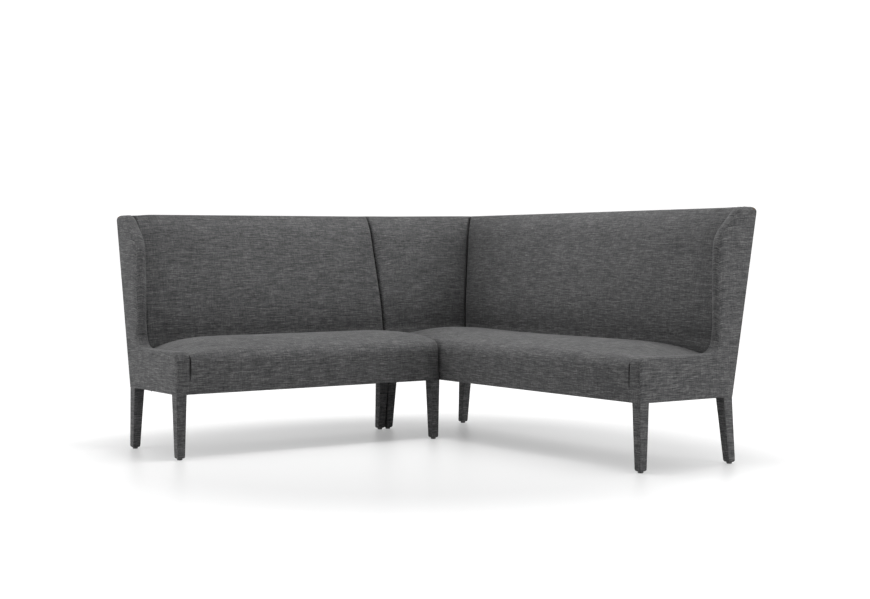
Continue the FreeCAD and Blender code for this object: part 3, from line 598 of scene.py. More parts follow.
# the strips of a back's cover that are held: at its foot, along its top's rear edge, and at its ends
BACK_TUCK_PIN = 0.02
BACK_TOP_PIN = 0.0005
BACK_END_PIN = 0.009


def joint_lean(z):
    """How far the seam between the backs stands to the left of the joint."""
    return size.seam_low + (size.seam_high - size.seam_low) * share_of(z, size.face_low, size.shoulder)


def half_groove(d, z):
    """Half the groove between the two backs: open at their faces, closed behind them."""
    behind = share_of(d - rear(z) + size.back, *GROOVE_DEPTH)
    return TOUCH + (size.groove - TOUCH) * (1 - behind)


def joint_end(d, z):
    return -GAP / 2 - half_groove(d, z) - joint_lean(z)


def joint_start(d, z):
    return -GAP / 2 + half_groove(d, z) - joint_lean(z)


def mitre_end(d, z):
    """The diagonal plane in the corner where the two backs meet."""
    return d - size.slack


def face_depth(z, bulge):
    """Depth of a back's front: full in the middle, rolled back at its top and tucked in at its foot."""
    share = (z - size.face_low) / (size.top - size.face_low)
    roll = max(1 - (size.top - z) / size.long_roll, 0.0) ** ROLL_POWER
    foot = max(1 - (z - size.face_low) / size.foot_roll, 0.0) ** 2
    full = 4 * bulge * share * (1 - share)
    return rear(z) - size.back - full + (size.back - size.top_depth) * roll + size.foot_fall * foot


def back_outline(bulge):
    """A back's outline: its face, its top, and the top rail and straps behind it."""
    heights = [size.face_low + (size.top - size.face_low) * share for share in FACE_SHARES]
    shelf = size.top - size.top_rail_drop + size.slack
    board_front = size.cover + size.board + size.slack
    strap = size.strap_front + size.slack
    return [
        (rear(size.deck) - size.back + size.foot_fall, size.deck),
        *[(face_depth(z, bulge), z) for z in heights],
        (rear(size.top) - size.cover, size.top),
        (rear(size.top) - size.cover, size.top - size.cover),
        (rear(size.top) - board_front, size.top - size.cover),
        (rear(shelf) - board_front, shelf),
        (rear(shelf) - strap, shelf),
        (rear(size.deck) - strap, size.deck),
    ]


def fading(radius):
    """A radius that fades out over a back's flat top, towards its rear edge."""
    top_front = rear(size.top) - size.top_depth

    def radius_at(d, z):
        if z < size.top - TINY:
            return radius
        return radius + (THIN_EDGE - radius) * share_of(d, top_front, top_front + size.top_depth / 2)

    return radius_at


def back(name, run, low_end, high_end, low_radius, high_radius):
    """A back's padded form between two ends, and which of its points are held."""
    low = low_end(0.0, size.face_low)
    high = high_end(rear(size.face_low) - size.back, size.face_low)
    reach = min(size.crown_run, (high - low) * LONGEST_RUN_SHARE)
    end_loss = 1 - size.end_bulge / size.bulge

    def outline_at(u):
        swell = 1.0
        for distance in (u - low, high - u):
            swell -= end_loss * end_share(distance, reach, CROWN_POWER)
        return back_outline(size.bulge * swell)

    piece, skins, edges = quilt(name, run, outline_at, low_end, high_end, len(FACE_SHARES) + 1,
                                fading(low_radius), fading(high_radius))
    heights = coordinates(piece)[:, 2]
    tucked = heights < size.tuck + BACK_TUCK_PIN
    at_top = heights > size.top - BACK_TOP_PIN
    return piece, ~skins | tucked | at_top | (edges < BACK_END_PIN)


# End panels with their wings

# how far a panel's edges are rounded over
FOOT_ROUND = 0.0035
OUTER_ROUND = 0.012
WING_OUTER_ROUND = 0.020
ARM_ROUND = 0.009
SLOT_ROUND = 0.0015
WING_ROUND = 0.036
FOOT_REACH = 0.08
ARM_REACH = 1.4 * size.arm_corner
PANEL_ANGLES = [math.radians(angle) for angle in (0, 15, 30, 45, 60, 75, 90)]
PANEL_STEP = 0.014
PANEL_FLANGE = 0.05
PANEL_TUCK = 0.02
PANEL_THICK = 0.004
# the middle of the wing's arc at the top, as shares of its corner's size in depth and in height
TOP_ARC_SHARES = (0.1, 0.28)
# how near to a panel's foot, rear and inner side a face counts as lying in it, and how squarely it faces it
FOOT_NEAR = 0.001
REAR_NEAR = 0.0008
SIDE_NEAR = 0.0005
FOOT_FACING = 0.9
REAR_FACING = 0.7
MERGE_REACH = 0.0002
CUT_REACH = 1e-5


def round_corner(before, corner, after, reach):
    """An outline's corner as an arc that starts and ends a reach away from it."""
    before, corner, after = (np.array(point) for point in (before, corner, after))
    back_way = (before - corner) / np.linalg.norm(before - corner)
    ahead = (after - corner) / np.linalg.norm(after - corner)
    half_turn = (math.pi - math.acos(float(back_way @ ahead))) / 2
    inside = (back_way + ahead) / np.linalg.norm(back_way + ahead)
    middle = corner + inside * reach / math.tan(half_turn) * (1 / math.cos(half_turn) - 1)
    return [tuple(corner + back_way * reach), ("arc", *middle), tuple(corner + ahead * reach)]


def end_outline():
    """An end panel's outline: its front, its arm, the cove, and the wing up to its shoulder and top."""
    front = size.wing_front
    corner = size.arm_corner
    quarter = corner * (1 - ROUND_SHARE)
    cove = size.cove
    hollow_height = (size.arm + cove + size.shoulder - size.shoulder_reach) / 2
    top_front = (size.wing_top - size.top_corner, size.top - size.top_corner)
    top_middle = [size.top_corner * share for share in TOP_ARC_SHARES]
    shoulder = round_corner((front, size.arm), (front, size.shoulder), top_front, size.shoulder_reach)
    return [
        (0.0, size.underside),
        (0.0, size.arm - corner),
        ("arc", quarter, size.arm - quarter),
        (corner, size.arm),
        (front - cove, size.arm),
        ("arc", front - cove + cove * ROUND_SHARE, size.arm + cove - cove * ROUND_SHARE),
        (front, size.arm + cove),
        ("arc", front - size.wing_hollow, hollow_height),
        *shoulder,
        top_front,
        ("arc", size.wing_top - top_middle[0], size.top - top_middle[1]),
        (size.wing_top + size.top_corner, size.top),
        (rear(size.top) - size.cover, size.top),
        (rear(size.underside) - size.cover, size.underside),
    ]


def outer_round(z):
    """How far the panel's outer edge is rounded over: least above the legs, and most on the wing."""
    foot = share_of(z, size.underside, size.underside + FOOT_REACH)
    wing = share_of(z, size.arm, size.arm + 2 * size.cove)
    radius = FOOT_ROUND + (OUTER_ROUND - FOOT_ROUND) * foot + (WING_OUTER_ROUND - OUTER_ROUND) * wing
    return radius + (THIN_EDGE - radius) * share_of(z, size.top - 3 * CORNER_SOFT / 2, size.top)


def inner_round(d, z):
    """How far the panel's inner edge is rounded over: closed below the slot, and softest on the wing."""
    if z < size.slot_low:
        return THIN_EDGE
    if z < size.arm - ARM_REACH:
        return THIN_EDGE + SLOT_ROUND * share_of(z, size.slot_low, size.slot_high)
    if z < size.arm:
        share = share_of(z, size.arm - ARM_REACH, size.arm)
        return THIN_EDGE + SLOT_ROUND + (ARM_ROUND - SLOT_ROUND) * share * share
    wing = ARM_ROUND + (WING_ROUND - ARM_ROUND) * share_of(z, size.arm, size.arm + 2 * size.cove)
    if z > size.top - size.top_corner / 2:
        return wing + (CORNER_SOFT / 2 - wing) * share_of(d, size.wing_top, rear(size.top) - CORNER_SOFT)
    return wing


def panel_rings(bm, run, outer, points):
    """A panel's rings of vertices, round its outer edge and then round its inner one."""
    plain = points[:, 1] < size.underside + THIN_EDGE
    plain |= points[:, 0] > rear(points[:, 1]) - size.cover - TINY
    normals = inward(points)
    rings = []
    for is_outer, angles in ((True, PANEL_ANGLES), (False, PANEL_ANGLES[::-1])):
        for angle in angles:
            ring = []
            for (d, z), normal, is_plain in zip(points, normals, plain):
                radius = outer_round(z) if is_outer else inner_round(d, z)
                if is_plain:
                    radius = THIN_EDGE
                inset = radius * (1 - math.sin(angle))
                step = radius * (1 - math.cos(angle))
                u = outer + step if is_outer else outer + size.end - step
                ring.append(bm.verts.new(spot(run, u, d + normal[0] * inset, z + normal[1] * inset)))
            rings.append(ring)
    return rings


def slice_mesh(bm, place, direction):
    geometry = bm.verts[:] + bm.edges[:] + bm.faces[:]
    bmesh.ops.bisect_plane(bm, geom=geometry, dist=CUT_REACH, plane_co=place, plane_no=direction)


def cut_panel(bm, run, along_d):
    """Cuts a panel's sides into a grid, and along the edges of what it leaves open."""
    for index in range(1, round((size.top - size.underside) / PANEL_STEP)):
        slice_mesh(bm, (0, 0, size.underside + index * PANEL_STEP), (0, 0, 1))
    for index in range(1, round((size.depth + size.lean) / PANEL_STEP)):
        slice_mesh(bm, spot(run, 0, index * PANEL_STEP, 0), along_d)
    slice_mesh(bm, (0, 0, size.tuck), (0, 0, 1))
    slice_mesh(bm, spot(run, 0, PANEL_FLANGE, 0), along_d)
    back_plane = spot(run, 0, rear(size.tuck) - size.back + PANEL_TUCK, size.tuck)
    lean_normal = along_d - Vector((0, 0, size.lean / (size.top - size.underside)))
    slice_mesh(bm, back_plane, lean_normal.normalized())
    bmesh.ops.remove_doubles(bm, verts=bm.verts, dist=MERGE_REACH)


def is_open(face, run, outer, along_d):
    """Whether a panel's cover leaves a face out: at its foot and rear, and behind the seat and the back."""
    middle = face.calc_center_median()
    u, d = on_run(run, middle.x, middle.y)
    if face.normal.z < -FOOT_FACING and middle.z < size.underside + FOOT_NEAR:
        return True
    if face.normal.dot(along_d) > REAR_FACING and d > rear(middle.z) - size.cover - REAR_NEAR:
        return True
    if u <= outer + size.end - SIDE_NEAR:
        return False
    if middle.z < size.tuck:
        return d > PANEL_FLANGE
    return d > rear(middle.z) - size.back + PANEL_TUCK


def end_panel(name, run, outer):
    """A module's outer end with its wing, as a padded cover over the board inside."""
    outline = end_outline()
    points = trace(outline, counts_of(outline, PANEL_STEP))
    bm = bmesh.new()
    rings = panel_rings(bm, run, outer, points)
    stitch(bm, rings)
    cap(bm, rings)
    along_d = Vector(spot(run, 0, 1, 0)) - Vector(spot(run, 0, 0, 0))
    cut_panel(bm, run, along_d)
    outward(bm)
    gone = [face for face in bm.faces if is_open(face, run, outer, along_d)]
    bmesh.ops.delete(bm, geom=gone, context="FACES")
    piece = finish_mesh(bm, name)
    swell_sides(piece, run, outer, points)
    return piece


SIDE_SWELL = 0.0015
WING_SWELL = 0.004
SWELL_REACH = 0.03


def swell_sides(piece, run, outer, points):
    """Lets the padding stand out a little in the middle of a panel's sides."""
    values = coordinates(piece)
    axis = 0 if run == "x" else 1
    along, deep = on_run(run, values[:, 0], values[:, 1])
    place = np.stack([deep, values[:, 2]], axis=1)
    distance = np.full(len(values), 1.0)
    for start, end in zip(points, np.roll(points, -1, axis=0)):
        span = end - start
        share = np.clip(((place - start) @ span) / max(span @ span, 1e-12), 0, 1)
        distance = np.minimum(distance, np.linalg.norm(place - start - share[:, None] * span, axis=1))
    rise = 1 - np.exp(-distance / SWELL_REACH)
    is_outer = along < outer + CUT_REACH
    is_inner = (along > outer + size.end - CUT_REACH) & (values[:, 2] > size.arm)
    values[:, axis] -= is_outer * rise * SIDE_SWELL
    values[:, axis] += is_inner * rise * WING_SWELL
    set_coordinates(piece, values)


BOARD_SKIN = 0.0083
BOARD_THICK = 0.018
BOARD_INSET = 0.014
BOARD_EDGE = 0.0012


def wing_board(name, run, outer):
    """The plywood board inside an end panel, cut well inside the padding, with its edges eased."""
    outline = end_outline()
    points = trace(outline, counts_of(outline, 2 * PANEL_STEP))
    normals = inward(points)
    bm = bmesh.new()
    rings = []
    steps = ((0, BOARD_EDGE), (BOARD_EDGE, 0), (BOARD_THICK - BOARD_EDGE, 0), (BOARD_THICK, BOARD_EDGE))
    for step, inset in steps:
        places = points + normals * (BOARD_INSET + inset)
        rings.append([bm.verts.new(spot(run, outer + BOARD_SKIN + step, d, z)) for d, z in places])
    stitch(bm, rings)
    cap(bm, rings)
    outward(bm)
    return finish_mesh(bm, name)


# Legs' sleeves

CORNER_STEPS = 5
SIDE_STEPS = 3
LEG_STEPS = 16
LEG_CORNER = 0.0035
# the sleeve's foot, turned in under the wood: height in bevels, how far in, and how round it gets
FOOT_STEPS = ((0.5, 0.0003, 0.0), (0.2, 0.0008, 0.05), (0.0, 0.0016, 0.12), (-0.12, 0.0028, 0.25),
              (-0.18, 0.0040, 0.5))


def square(half, corner):
    """Points round a square with rounded corners, about its middle."""
    side = half - corner
    places = []
    for index in range(CORNER_STEPS + 1):
        angle = index / CORNER_STEPS * math.pi / 2
        places.append((side + corner * math.cos(angle), side + corner * math.sin(angle)))
    for index in range(1, SIDE_STEPS):
        places.append((side * (1 - 2 * (index / SIDE_STEPS)), half))
    points = []
    for quarter in range(4):
        cos, sin = math.cos(quarter * math.pi / 2), math.sin(quarter * math.pi / 2)
        points += [(x * cos - y * sin, x * sin + y * cos) for x, y in places]
    return points


def sleeve(name, run, u_face, d_face, splayed):
    """A leg's tapered fabric, pulled in at its foot. A face is an outer face's place and the way in."""
    out = size.splay if splayed else 0.0
    top_u = u_face[0] + u_face[1] * size.leg_top / 2
    top_d = d_face[0] + d_face[1] * size.leg_top / 2
    foot_u = u_face[0] + u_face[1] * size.foot_inset
    foot_d = d_face[0] + d_face[1] * (size.foot_inset - out)
    drop = size.underside - size.glide_height - size.foot_bevel
    levels = [(size.underside - drop * i / LEG_STEPS, 0.0, 0.0) for i in range(LEG_STEPS + 1)]
    levels += [(size.glide_height + size.foot_bevel * z, pull, grow) for z, pull, grow in FOOT_STEPS]
    bm = bmesh.new()
    rings = []
    for z, pull, grow in levels:
        share = (size.underside - z) / (size.underside - size.glide_height)
        half = (size.leg_top + (size.leg_foot - size.leg_top) * share) / 2 - pull
        u = top_u + (foot_u - top_u) * share
        d = top_d + (foot_d - top_d) * share
        places = square(half, LEG_CORNER + (half - LEG_CORNER) * grow)
        rings.append([bm.verts.new(spot(run, u + x, d + y, z)) for x, y in places])
    stitch(bm, rings)
    outward(bm)
    return finish_mesh(bm, name)


# Outside back covers and the boards under them

SHEET_ANGLES = (0, 20, 40, 60, 75, 90)
LEAST_SHEET_STEP = 0.001


def mitred(inset):
    """The corner's leaning plane, or one an inset in from it."""
    return lambda d, z: rear(z) - inset


def sheet(name, run, low_end, high_end, behind, thickness, low, top):
    """A thin sheet along the leaning rear face, some way in from it."""
    heights = [size.top - CORNER_SOFT * (1 - math.sin(math.radians(angle))) for angle in SHEET_ANGLES]
    heights = [z for z in heights if z < top - LEAST_SHEET_STEP] + [top]
    front = [(rear(z) - behind - thickness, z) for z in [low] + heights]
    outline = [(rear(low) - behind, low)] + front + [(rear(z) - behind, z) for z in heights[::-1]]
    edge = constant(thickness / 4)
    return quilt(name, run, lambda u: outline, low_end, high_end, len(outline), edge, edge)[0]


# The top's outer rear corner

CORNER_SOFT = 0.020
CORNER_WIDTH = 0.060
CORNER_FADE = 0.080
# how much higher the top stands than its plain line: at the outer end, and along the rest
RISES = {"left": (-0.004, 0.0), "right": (0.006, 0.005)}
# the least share of the rise on the return back, and a distance that is well away from the outer ends
LEAST_RISE = 0.2
FAR_FROM_END = 1.0


def settle_top(piece, run, module):
    """Rounds the outer rear corner of a module's top, and lets the top stand a little off its plain line."""
    values = coordinates(piece)
    axis = 0 if run == "x" else 1
    along, deep = on_run(run, values[:, 0], values[:, 1])
    height = values[:, 2].copy()
    from_end = along + (size.left if run == "x" else size.right)
    end_rise, rise = RISES[module]
    if module == "right" and run == "x":
        from_end = np.full(len(values), FAR_FROM_END)
        rise = rise * np.clip(along / size.depth, LEAST_RISE, 1)
    far = np.clip((from_end - CORNER_WIDTH) / CORNER_FADE, 0, 1)
    near = 1 - far * far * (3 - 2 * far)
    up = np.clip(height - size.top + CORNER_SOFT, 0, CORNER_SOFT)
    curve = CORNER_SOFT - np.sqrt(CORNER_SOFT ** 2 - up ** 2)
    at_rear = np.clip(1 - (rear(height) - deep) / (2 * CORNER_SOFT), 0, 1)
    at_side = np.clip(1 - from_end / (2 * CORNER_SOFT), 0, 1)
    values[:, 1 - axis] -= curve * near * at_rear
    values[:, axis] += curve * at_side
    lift = np.clip((height - size.face_low) / (size.top - size.face_low), 0, 1) ** 2
    values[:, 2] += lift * (rise + (end_rise - rise) * near)
    set_coordinates(piece, values)


# The black cloths stapled under the seats

CLOTH_STEP = 0.025
CLOTH_THICK = 0.0008
# how far the cloth's lower face lies above the covers' edges
CLOTH_RISE = 0.001
HEM_WIDTH = 0.014
HEM_FOLD = 0.002
HEM_DROP = 0.0007
CLOTH_SAG = 0.005
CLOTH_WAVES = 0.5
WAVE_SCALES = (7, 11)
WAVE_LEVEL = 0.3


def hem_marks(low, high, notch):
    """Lines across a cloth at its edges, its hems and its notches."""
    return [low, low + HEM_WIDTH, low + HEM_WIDTH + HEM_FOLD, low + notch,
            high - notch, high - HEM_WIDTH - HEM_FOLD, high - HEM_WIDTH, high]


def lines_between(marks):
    """Grid lines through all the marks, no more than a step apart."""
    lines = []
    for start, end in zip(marks, marks[1:]):
        count = max(1, math.ceil((end - start) / CLOTH_STEP))
        lines += [start + (end - start) * index / count for index in range(count)]
    return lines + [marks[-1]]


def base_cloth(name, run, low, high):
    """A hemmed cloth that sags a little between the rails, notched round the legs at its corners."""
    notch = size.leg_top - size.cover + size.slack
    front = size.cover + size.slack
    back_edge = size.depth - size.cover - size.slack
    us = lines_between(hem_marks(low, high, notch))
    ds = lines_between(hem_marks(front, back_edge, notch))
    bm = bmesh.new()
    grid = {}

    def corner(i, j):
        if (i, j) not in grid:
            u, d = us[i], ds[j]
            edge = min(u - low, high - u, d - front, back_edge - d)
            hem = HEM_DROP if edge < HEM_WIDTH + HEM_FOLD / 2 else 0.0
            across = math.sin(math.pi * (u - low) / (high - low))
            across *= math.sin(math.pi * (d - front) / (back_edge - front))
            place = Vector((u * WAVE_SCALES[0], d * WAVE_SCALES[1], WAVE_LEVEL))
            waves = 1 + CLOTH_WAVES * noise.noise(place)
            z = size.underside + CLOTH_RISE - hem - CLOTH_SAG * across * waves
            grid[i, j] = bm.verts.new(spot(run, u, d, z))
        return grid[i, j]

    for i in range(len(us) - 1):
        for j in range(len(ds) - 1):
            at_u_end = us[i] < low + notch - TINY or us[i + 1] > high - notch + TINY
            at_d_end = ds[j] < front + notch - TINY or ds[j + 1] > back_edge - notch + TINY
            if at_u_end and at_d_end:
                continue
            bm.faces.new((corner(i, j), corner(i + 1, j), corner(i + 1, j + 1), corner(i, j + 1)))
    outward(bm)
    piece = finish_mesh(bm, name)
    thicken(piece, CLOTH_THICK)
    smooth(piece, 60)
    return piece


# Finishes

def nodes_of(name):
    """A new material, its tree and its shader."""
    material = bpy.data.materials.new(name)
    material.use_nodes = True
    tree = material.node_tree
    return material, tree, tree.nodes["Principled BSDF"]


def feed(tree, value, socket):
    """Sets a socket to a number, or links another socket to it."""
    if isinstance(value, (int, float)):
        socket.default_value = value
    else:
        tree.links.new(value, socket)


def math_node(tree, operation, *values):
    item = tree.nodes.new("ShaderNodeMath")
    item.operation = operation
    for value, socket in zip(values, item.inputs):
        feed(tree, value, socket)
    return item.outputs[0]


def blend_values(tree, factor, first, second):
    item = tree.nodes.new("ShaderNodeMix")
    for value, socket in zip((factor, first, second), (item.inputs[0], item.inputs[2], item.inputs[3])):
        feed(tree, value, socket)
    return item.outputs[0]


def stretched_noise(tree, source, scale, detail, roughness, offset=0.0):
    """Noise with its own scale along each axis, in cells per metre."""
    mapping = tree.nodes.new("ShaderNodeMapping")
    mapping.inputs["Scale"].default_value = scale
    mapping.inputs["Location"].default_value = (offset, offset, offset)
    tree.links.new(source, mapping.inputs["Vector"])
    item = tree.nodes.new("ShaderNodeTexNoise")
    item.inputs["Scale"].default_value = 1.0
    item.inputs["Detail"].default_value = detail
    item.inputs["Roughness"].default_value = roughness
    tree.links.new(mapping.outputs[0], item.inputs["Vector"])
    return item.outputs["Fac"]


def ramp(tree, value, first, last, *between):
    """Colours along a value, from stops that are each a place and a colour."""
    item = tree.nodes.new("ShaderNodeValToRGB")
    elements = item.color_ramp.elements
    for element, (place, colour) in zip(elements, (first, last)):
        element.position = place
        element.color = colour
    for place, colour in between:
        elements.new(place).color = colour
    tree.links.new(value, item.inputs[0])
    return item.outputs[0]


def add_bump(tree, shader, value, strength, distance):
    item = tree.nodes.new("ShaderNodeBump")
    item.inputs["Strength"].default_value = strength
    item.inputs["Distance"].default_value = distance
    tree.links.new(value, item.inputs["Height"])
    tree.links.new(item.outputs[0], shader.inputs["Normal"])


# threads of the melange weave: length along the thread and width across it, in metres, and strength
SLUBS = ((0.110, 0.0060, 0.30), (0.050, 0.0034, 0.60), (0.020, 0.0022, 0.55), (0.008, 0.0014, 0.45))
WARPS = ((0.040, 0.0042, 0.28), (0.016, 0.0018, 0.34))
THREAD_DEPTH = 0.05
# places in the noise, so that the threads and the clouds don't fall together
SLUB_OFFSET = 3.1
WARP_OFFSET = 17.3
NEXT_OFFSET = 5.7
CLOUD_OFFSET = 41.0
CLOUD_SCALE = 14
CLOUD_STRENGTH = 0.16
FABRIC_DARK = (0.016, 0.016, 0.017, 1)
FABRIC_MID = (0.0745, 0.0745, 0.076, 1)
FABRIC_LIGHT = (0.215, 0.213, 0.210, 1)
# from which normal on a face counts as facing along its run
END_FACING = 0.72
# painted shade: the fabric's colour is darkened where other padding stands close, as in creases and along
# seams
PAINTED_SHADE_REACH = 0.28
PAINTED_SHADE_DEPTH = 0.44
LEG_PAINTED_SHADE_DEPTH = 0.05
PAINTED_SHADE_SAMPLES = 6


def melange_tone(tree, source, place):
    """The melange's tone. The source runs along the slubs in x and across them in y."""
    cells = 1 / THREAD_DEPTH
    parts = []
    for index, (length, width, strength) in enumerate(SLUBS):
        offset = SLUB_OFFSET + index * NEXT_OFFSET
        parts.append(((1 / length, 1 / width, cells), offset, strength))
    for index, (length, width, strength) in enumerate(WARPS):
        offset = WARP_OFFSET + index * NEXT_OFFSET
        parts.append(((1 / width, 1 / length, cells), offset, strength))
    total = None
    for scale, offset, strength in parts:
        tone = stretched_noise(tree, source, scale, 1.0, 0.5, offset)
        part = math_node(tree, "MULTIPLY", math_node(tree, "SUBTRACT", tone, 0.5), strength)
        total = part if total is None else math_node(tree, "ADD", total, part)
    cloud = stretched_noise(tree, place, (CLOUD_SCALE,) * 3, 3.0, 0.6, CLOUD_OFFSET)
    cloud = math_node(tree, "MULTIPLY", math_node(tree, "SUBTRACT", cloud, 0.5), CLOUD_STRENGTH)
    return math_node(tree, "ADD", math_node(tree, "ADD", total, cloud), 0.5)


def woven_place(tree, place, along):
    """A point's place in the cloth. Slubs run level round each face, and along the seat on top."""
    spots = tree.nodes.new("ShaderNodeSeparateXYZ")
    tree.links.new(place, spots.inputs[0])
    normal = tree.nodes.new("ShaderNodeSeparateXYZ")
    tree.links.new(tree.nodes.new("ShaderNodeNewGeometry").outputs["Normal"], normal.inputs[0])
    steepness = math_node(tree, "ABSOLUTE", normal.outputs[along])
    facing_end = math_node(tree, "GREATER_THAN", steepness, END_FACING)
    level = blend_values(tree, facing_end, spots.outputs[along], spots.outputs[1 - along])
    depth = blend_values(tree, facing_end, spots.outputs[1 - along], spots.outputs[along])
    woven = tree.nodes.new("ShaderNodeCombineXYZ")
    tree.links.new(level, woven.inputs[0])
    tree.links.new(math_node(tree, "ADD", spots.outputs[2], depth), woven.inputs[1])
    return woven.outputs[0]


def painted_crease_shade(tree, colour, depth):
    """Paints shade into a colour: darkens it by up to a depth where other padding stands close, from ambient
    occlusion.
    """
    nearby = tree.nodes.new("ShaderNodeAmbientOcclusion")
    nearby.samples = PAINTED_SHADE_SAMPLES
    nearby.inputs["Distance"].default_value = PAINTED_SHADE_REACH
    open_share = math_node(tree, "MULTIPLY", nearby.outputs["AO"], depth)
    open_share = math_node(tree, "ADD", open_share, 1 - depth)
    shade = tree.nodes.new("ShaderNodeVectorMath")
    shade.operation = "SCALE"
    tree.links.new(colour, shade.inputs[0])
    tree.links.new(open_share, shade.inputs["Scale"])
    return shade.outputs[0]


def fabric(name, along, painted_shade_depth):
    """Charcoal melange weave, for a run along X (0) or Y (1), with shade painted into its colour where other
    padding stands close.
    """
    material, tree, shader = nodes_of(name)
    place = tree.nodes.new("ShaderNodeTexCoord").outputs["Object"]
    value = melange_tone(tree, woven_place(tree, place, along), place)
    colour = ramp(tree, value, (0.10, FABRIC_DARK), (0.95, FABRIC_LIGHT), (0.5, FABRIC_MID))
    # painted shade: the base colour is darkened by ambient occlusion in creases and along seams
    tree.links.new(painted_crease_shade(tree, colour, painted_shade_depth), shader.inputs["Base Color"])
    shader.inputs["Roughness"].default_value = 0.95
    shader.inputs["Specular IOR Level"].default_value = 0.1
    shader.inputs["Sheen Weight"].default_value = 0.08
    shader.inputs["Sheen Roughness"].default_value = 0.5
    add_bump(tree, shader, value, 0.3, 0.0006)
    return material


def speckled(name, dark, light, cells, roughness, metallic=0.0):
    """A finish whose colour and relief follow one noise, in cells per metre, alike or for each axis."""
    material, tree, shader = nodes_of(name)
    place = tree.nodes.new("ShaderNodeTexCoord").outputs["Object"]
    scale = cells if isinstance(cells, tuple) else (cells,) * 3
    tone = stretched_noise(tree, place, scale, 4.0, 0.6)
    colour = ramp(tree, tone, (0.3, dark + (1,)), (0.7, light + (1,)))
    tree.links.new(colour, shader.inputs["Base Color"])
    shader.inputs["Roughness"].default_value = roughness
    shader.inputs["Metallic"].default_value = metallic
    add_bump(tree, shader, tone, 0.4, 0.0004)
    return material


FINISHES = {
    "seat_foam": speckled("foam", (0.62, 0.56, 0.42), (0.74, 0.68, 0.54), 900, 0.95),
    "timber": speckled("timber", (0.36, 0.23, 0.13), (0.52, 0.36, 0.22), (18, 18, 140), 0.6),
    "plywood": speckled("plywood", (0.46, 0.33, 0.20), (0.62, 0.47, 0.31), (24, 24, 90), 0.6),
    "fibreboard": speckled("fibreboard", (0.20, 0.13, 0.08), (0.28, 0.19, 0.12), 300, 0.75),
    "spring_steel": speckled("spring_steel", (0.32, 0.32, 0.33), (0.48, 0.48, 0.49), 200, 0.4, 1.0),
    "webbing": speckled("webbing", (0.02, 0.02, 0.022), (0.07, 0.07, 0.075), 700, 0.85),
    "base_cloth": speckled("base_cloth", (0.008, 0.008, 0.009), (0.024, 0.024, 0.026), 500, 0.95),
    "glide_plastic": speckled("glide_plastic", (0.008, 0.008, 0.008), (0.02, 0.02, 0.02), 400, 0.45),
}
# the padding's fabrics carry strong painted shade in their creases, the legs' fabrics only slight painted
# shade
FABRICS = {
    "x": fabric("melange_weave_x", 0, PAINTED_SHADE_DEPTH),
    "y": fabric("melange_weave_y", 1, PAINTED_SHADE_DEPTH),
    "legs_x": fabric("melange_leg_weave_x", 0, LEG_PAINTED_SHADE_DEPTH),
    "legs_y": fabric("melange_leg_weave_y", 1, LEG_PAINTED_SHADE_DEPTH),
}


def paint(piece, run, slot_name):
    piece.data.materials.clear()
    piece.data.materials.append(FABRICS[run] if slot_name == "upholstery" else FINISHES[slot_name])


def dress(piece, run, slot_name, *replaced):
    """Gives a piece its finish, hides the parts it replaces, and hangs it under the root."""
    paint(piece, run, slot_name)
    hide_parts(*replaced)
    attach(piece, "root")


# The bench's pieces

CREASE_ANGLE = 55
LEG_SMOOTH_ANGLE = 60
SLEEVE_SHARE = 0.9

CUSHIONS = (
    # the padding with what is held of it, its run, its module if it has a top, and the nodes it replaces
    (seat("left_seat", "x", LEFT_START, seat_joint, left_height, SEAT_JOINT_ROUND),
     "x", None, ("left_seat_cover", "left_seat_foam", "left_joint_covers")),
    (seat("right_seat", "y", RIGHT_START, return_face, right_height, SEAT_CORNER_ROUND),
     "y", None, ("right_seat_cover", "right_seat_foam")),
    (back("left_back", "x", constant(LEFT_START), joint_end, BACK_ROUND, BACK_JOINT_ROUND),
     "x", "left", ("left_inside_back_cover", "left_back_foam")),
    (back("right_back", "y", constant(RIGHT_START), mitre_end, BACK_ROUND, BACK_ROUND),
     "y", "right", ("right_inside_back_cover", "right_back_foam")),
    (back("right_return_back", "x", joint_start, mitre_end, BACK_JOINT_ROUND, BACK_ROUND),
     "x", "right", ("right_return_inside_cover", "right_return_back_foam", "right_joint_cover")),
)
for (cushion, pins), run, module, replaced in CUSHIONS:
    add_cloth(cushion, pins)
puff([padding[0] for padding, run, module, replaced in CUSHIONS])
for (cushion, pins), run, module, replaced in CUSHIONS:
    if module:
        settle_top(cushion, run, module)
    uneven(cushion, 1.0 - pins)
    crease_edges(cushion, CREASE_ANGLE)
    modify(cushion, "SUBSURF", levels=1, render_levels=1)
    smooth(cushion)
    dress(cushion, run, "upholstery", *replaced)

for module, run, length in (("left", "x", size.left), ("right", "y", size.right)):
    panel = end_panel(module + "_end_panel", run, -length)
    settle_top(panel, run, module)
    uneven(panel)
    thicken(panel, PANEL_THICK)
    smooth(panel)
    dress(panel, run, "upholstery", module + "_end_cover", module + "_end_foam")
    board = wing_board(module + "_wing_panel", run, -length)
    smooth(board)
    dress(board, run, "plywood", module + "_wing_board")

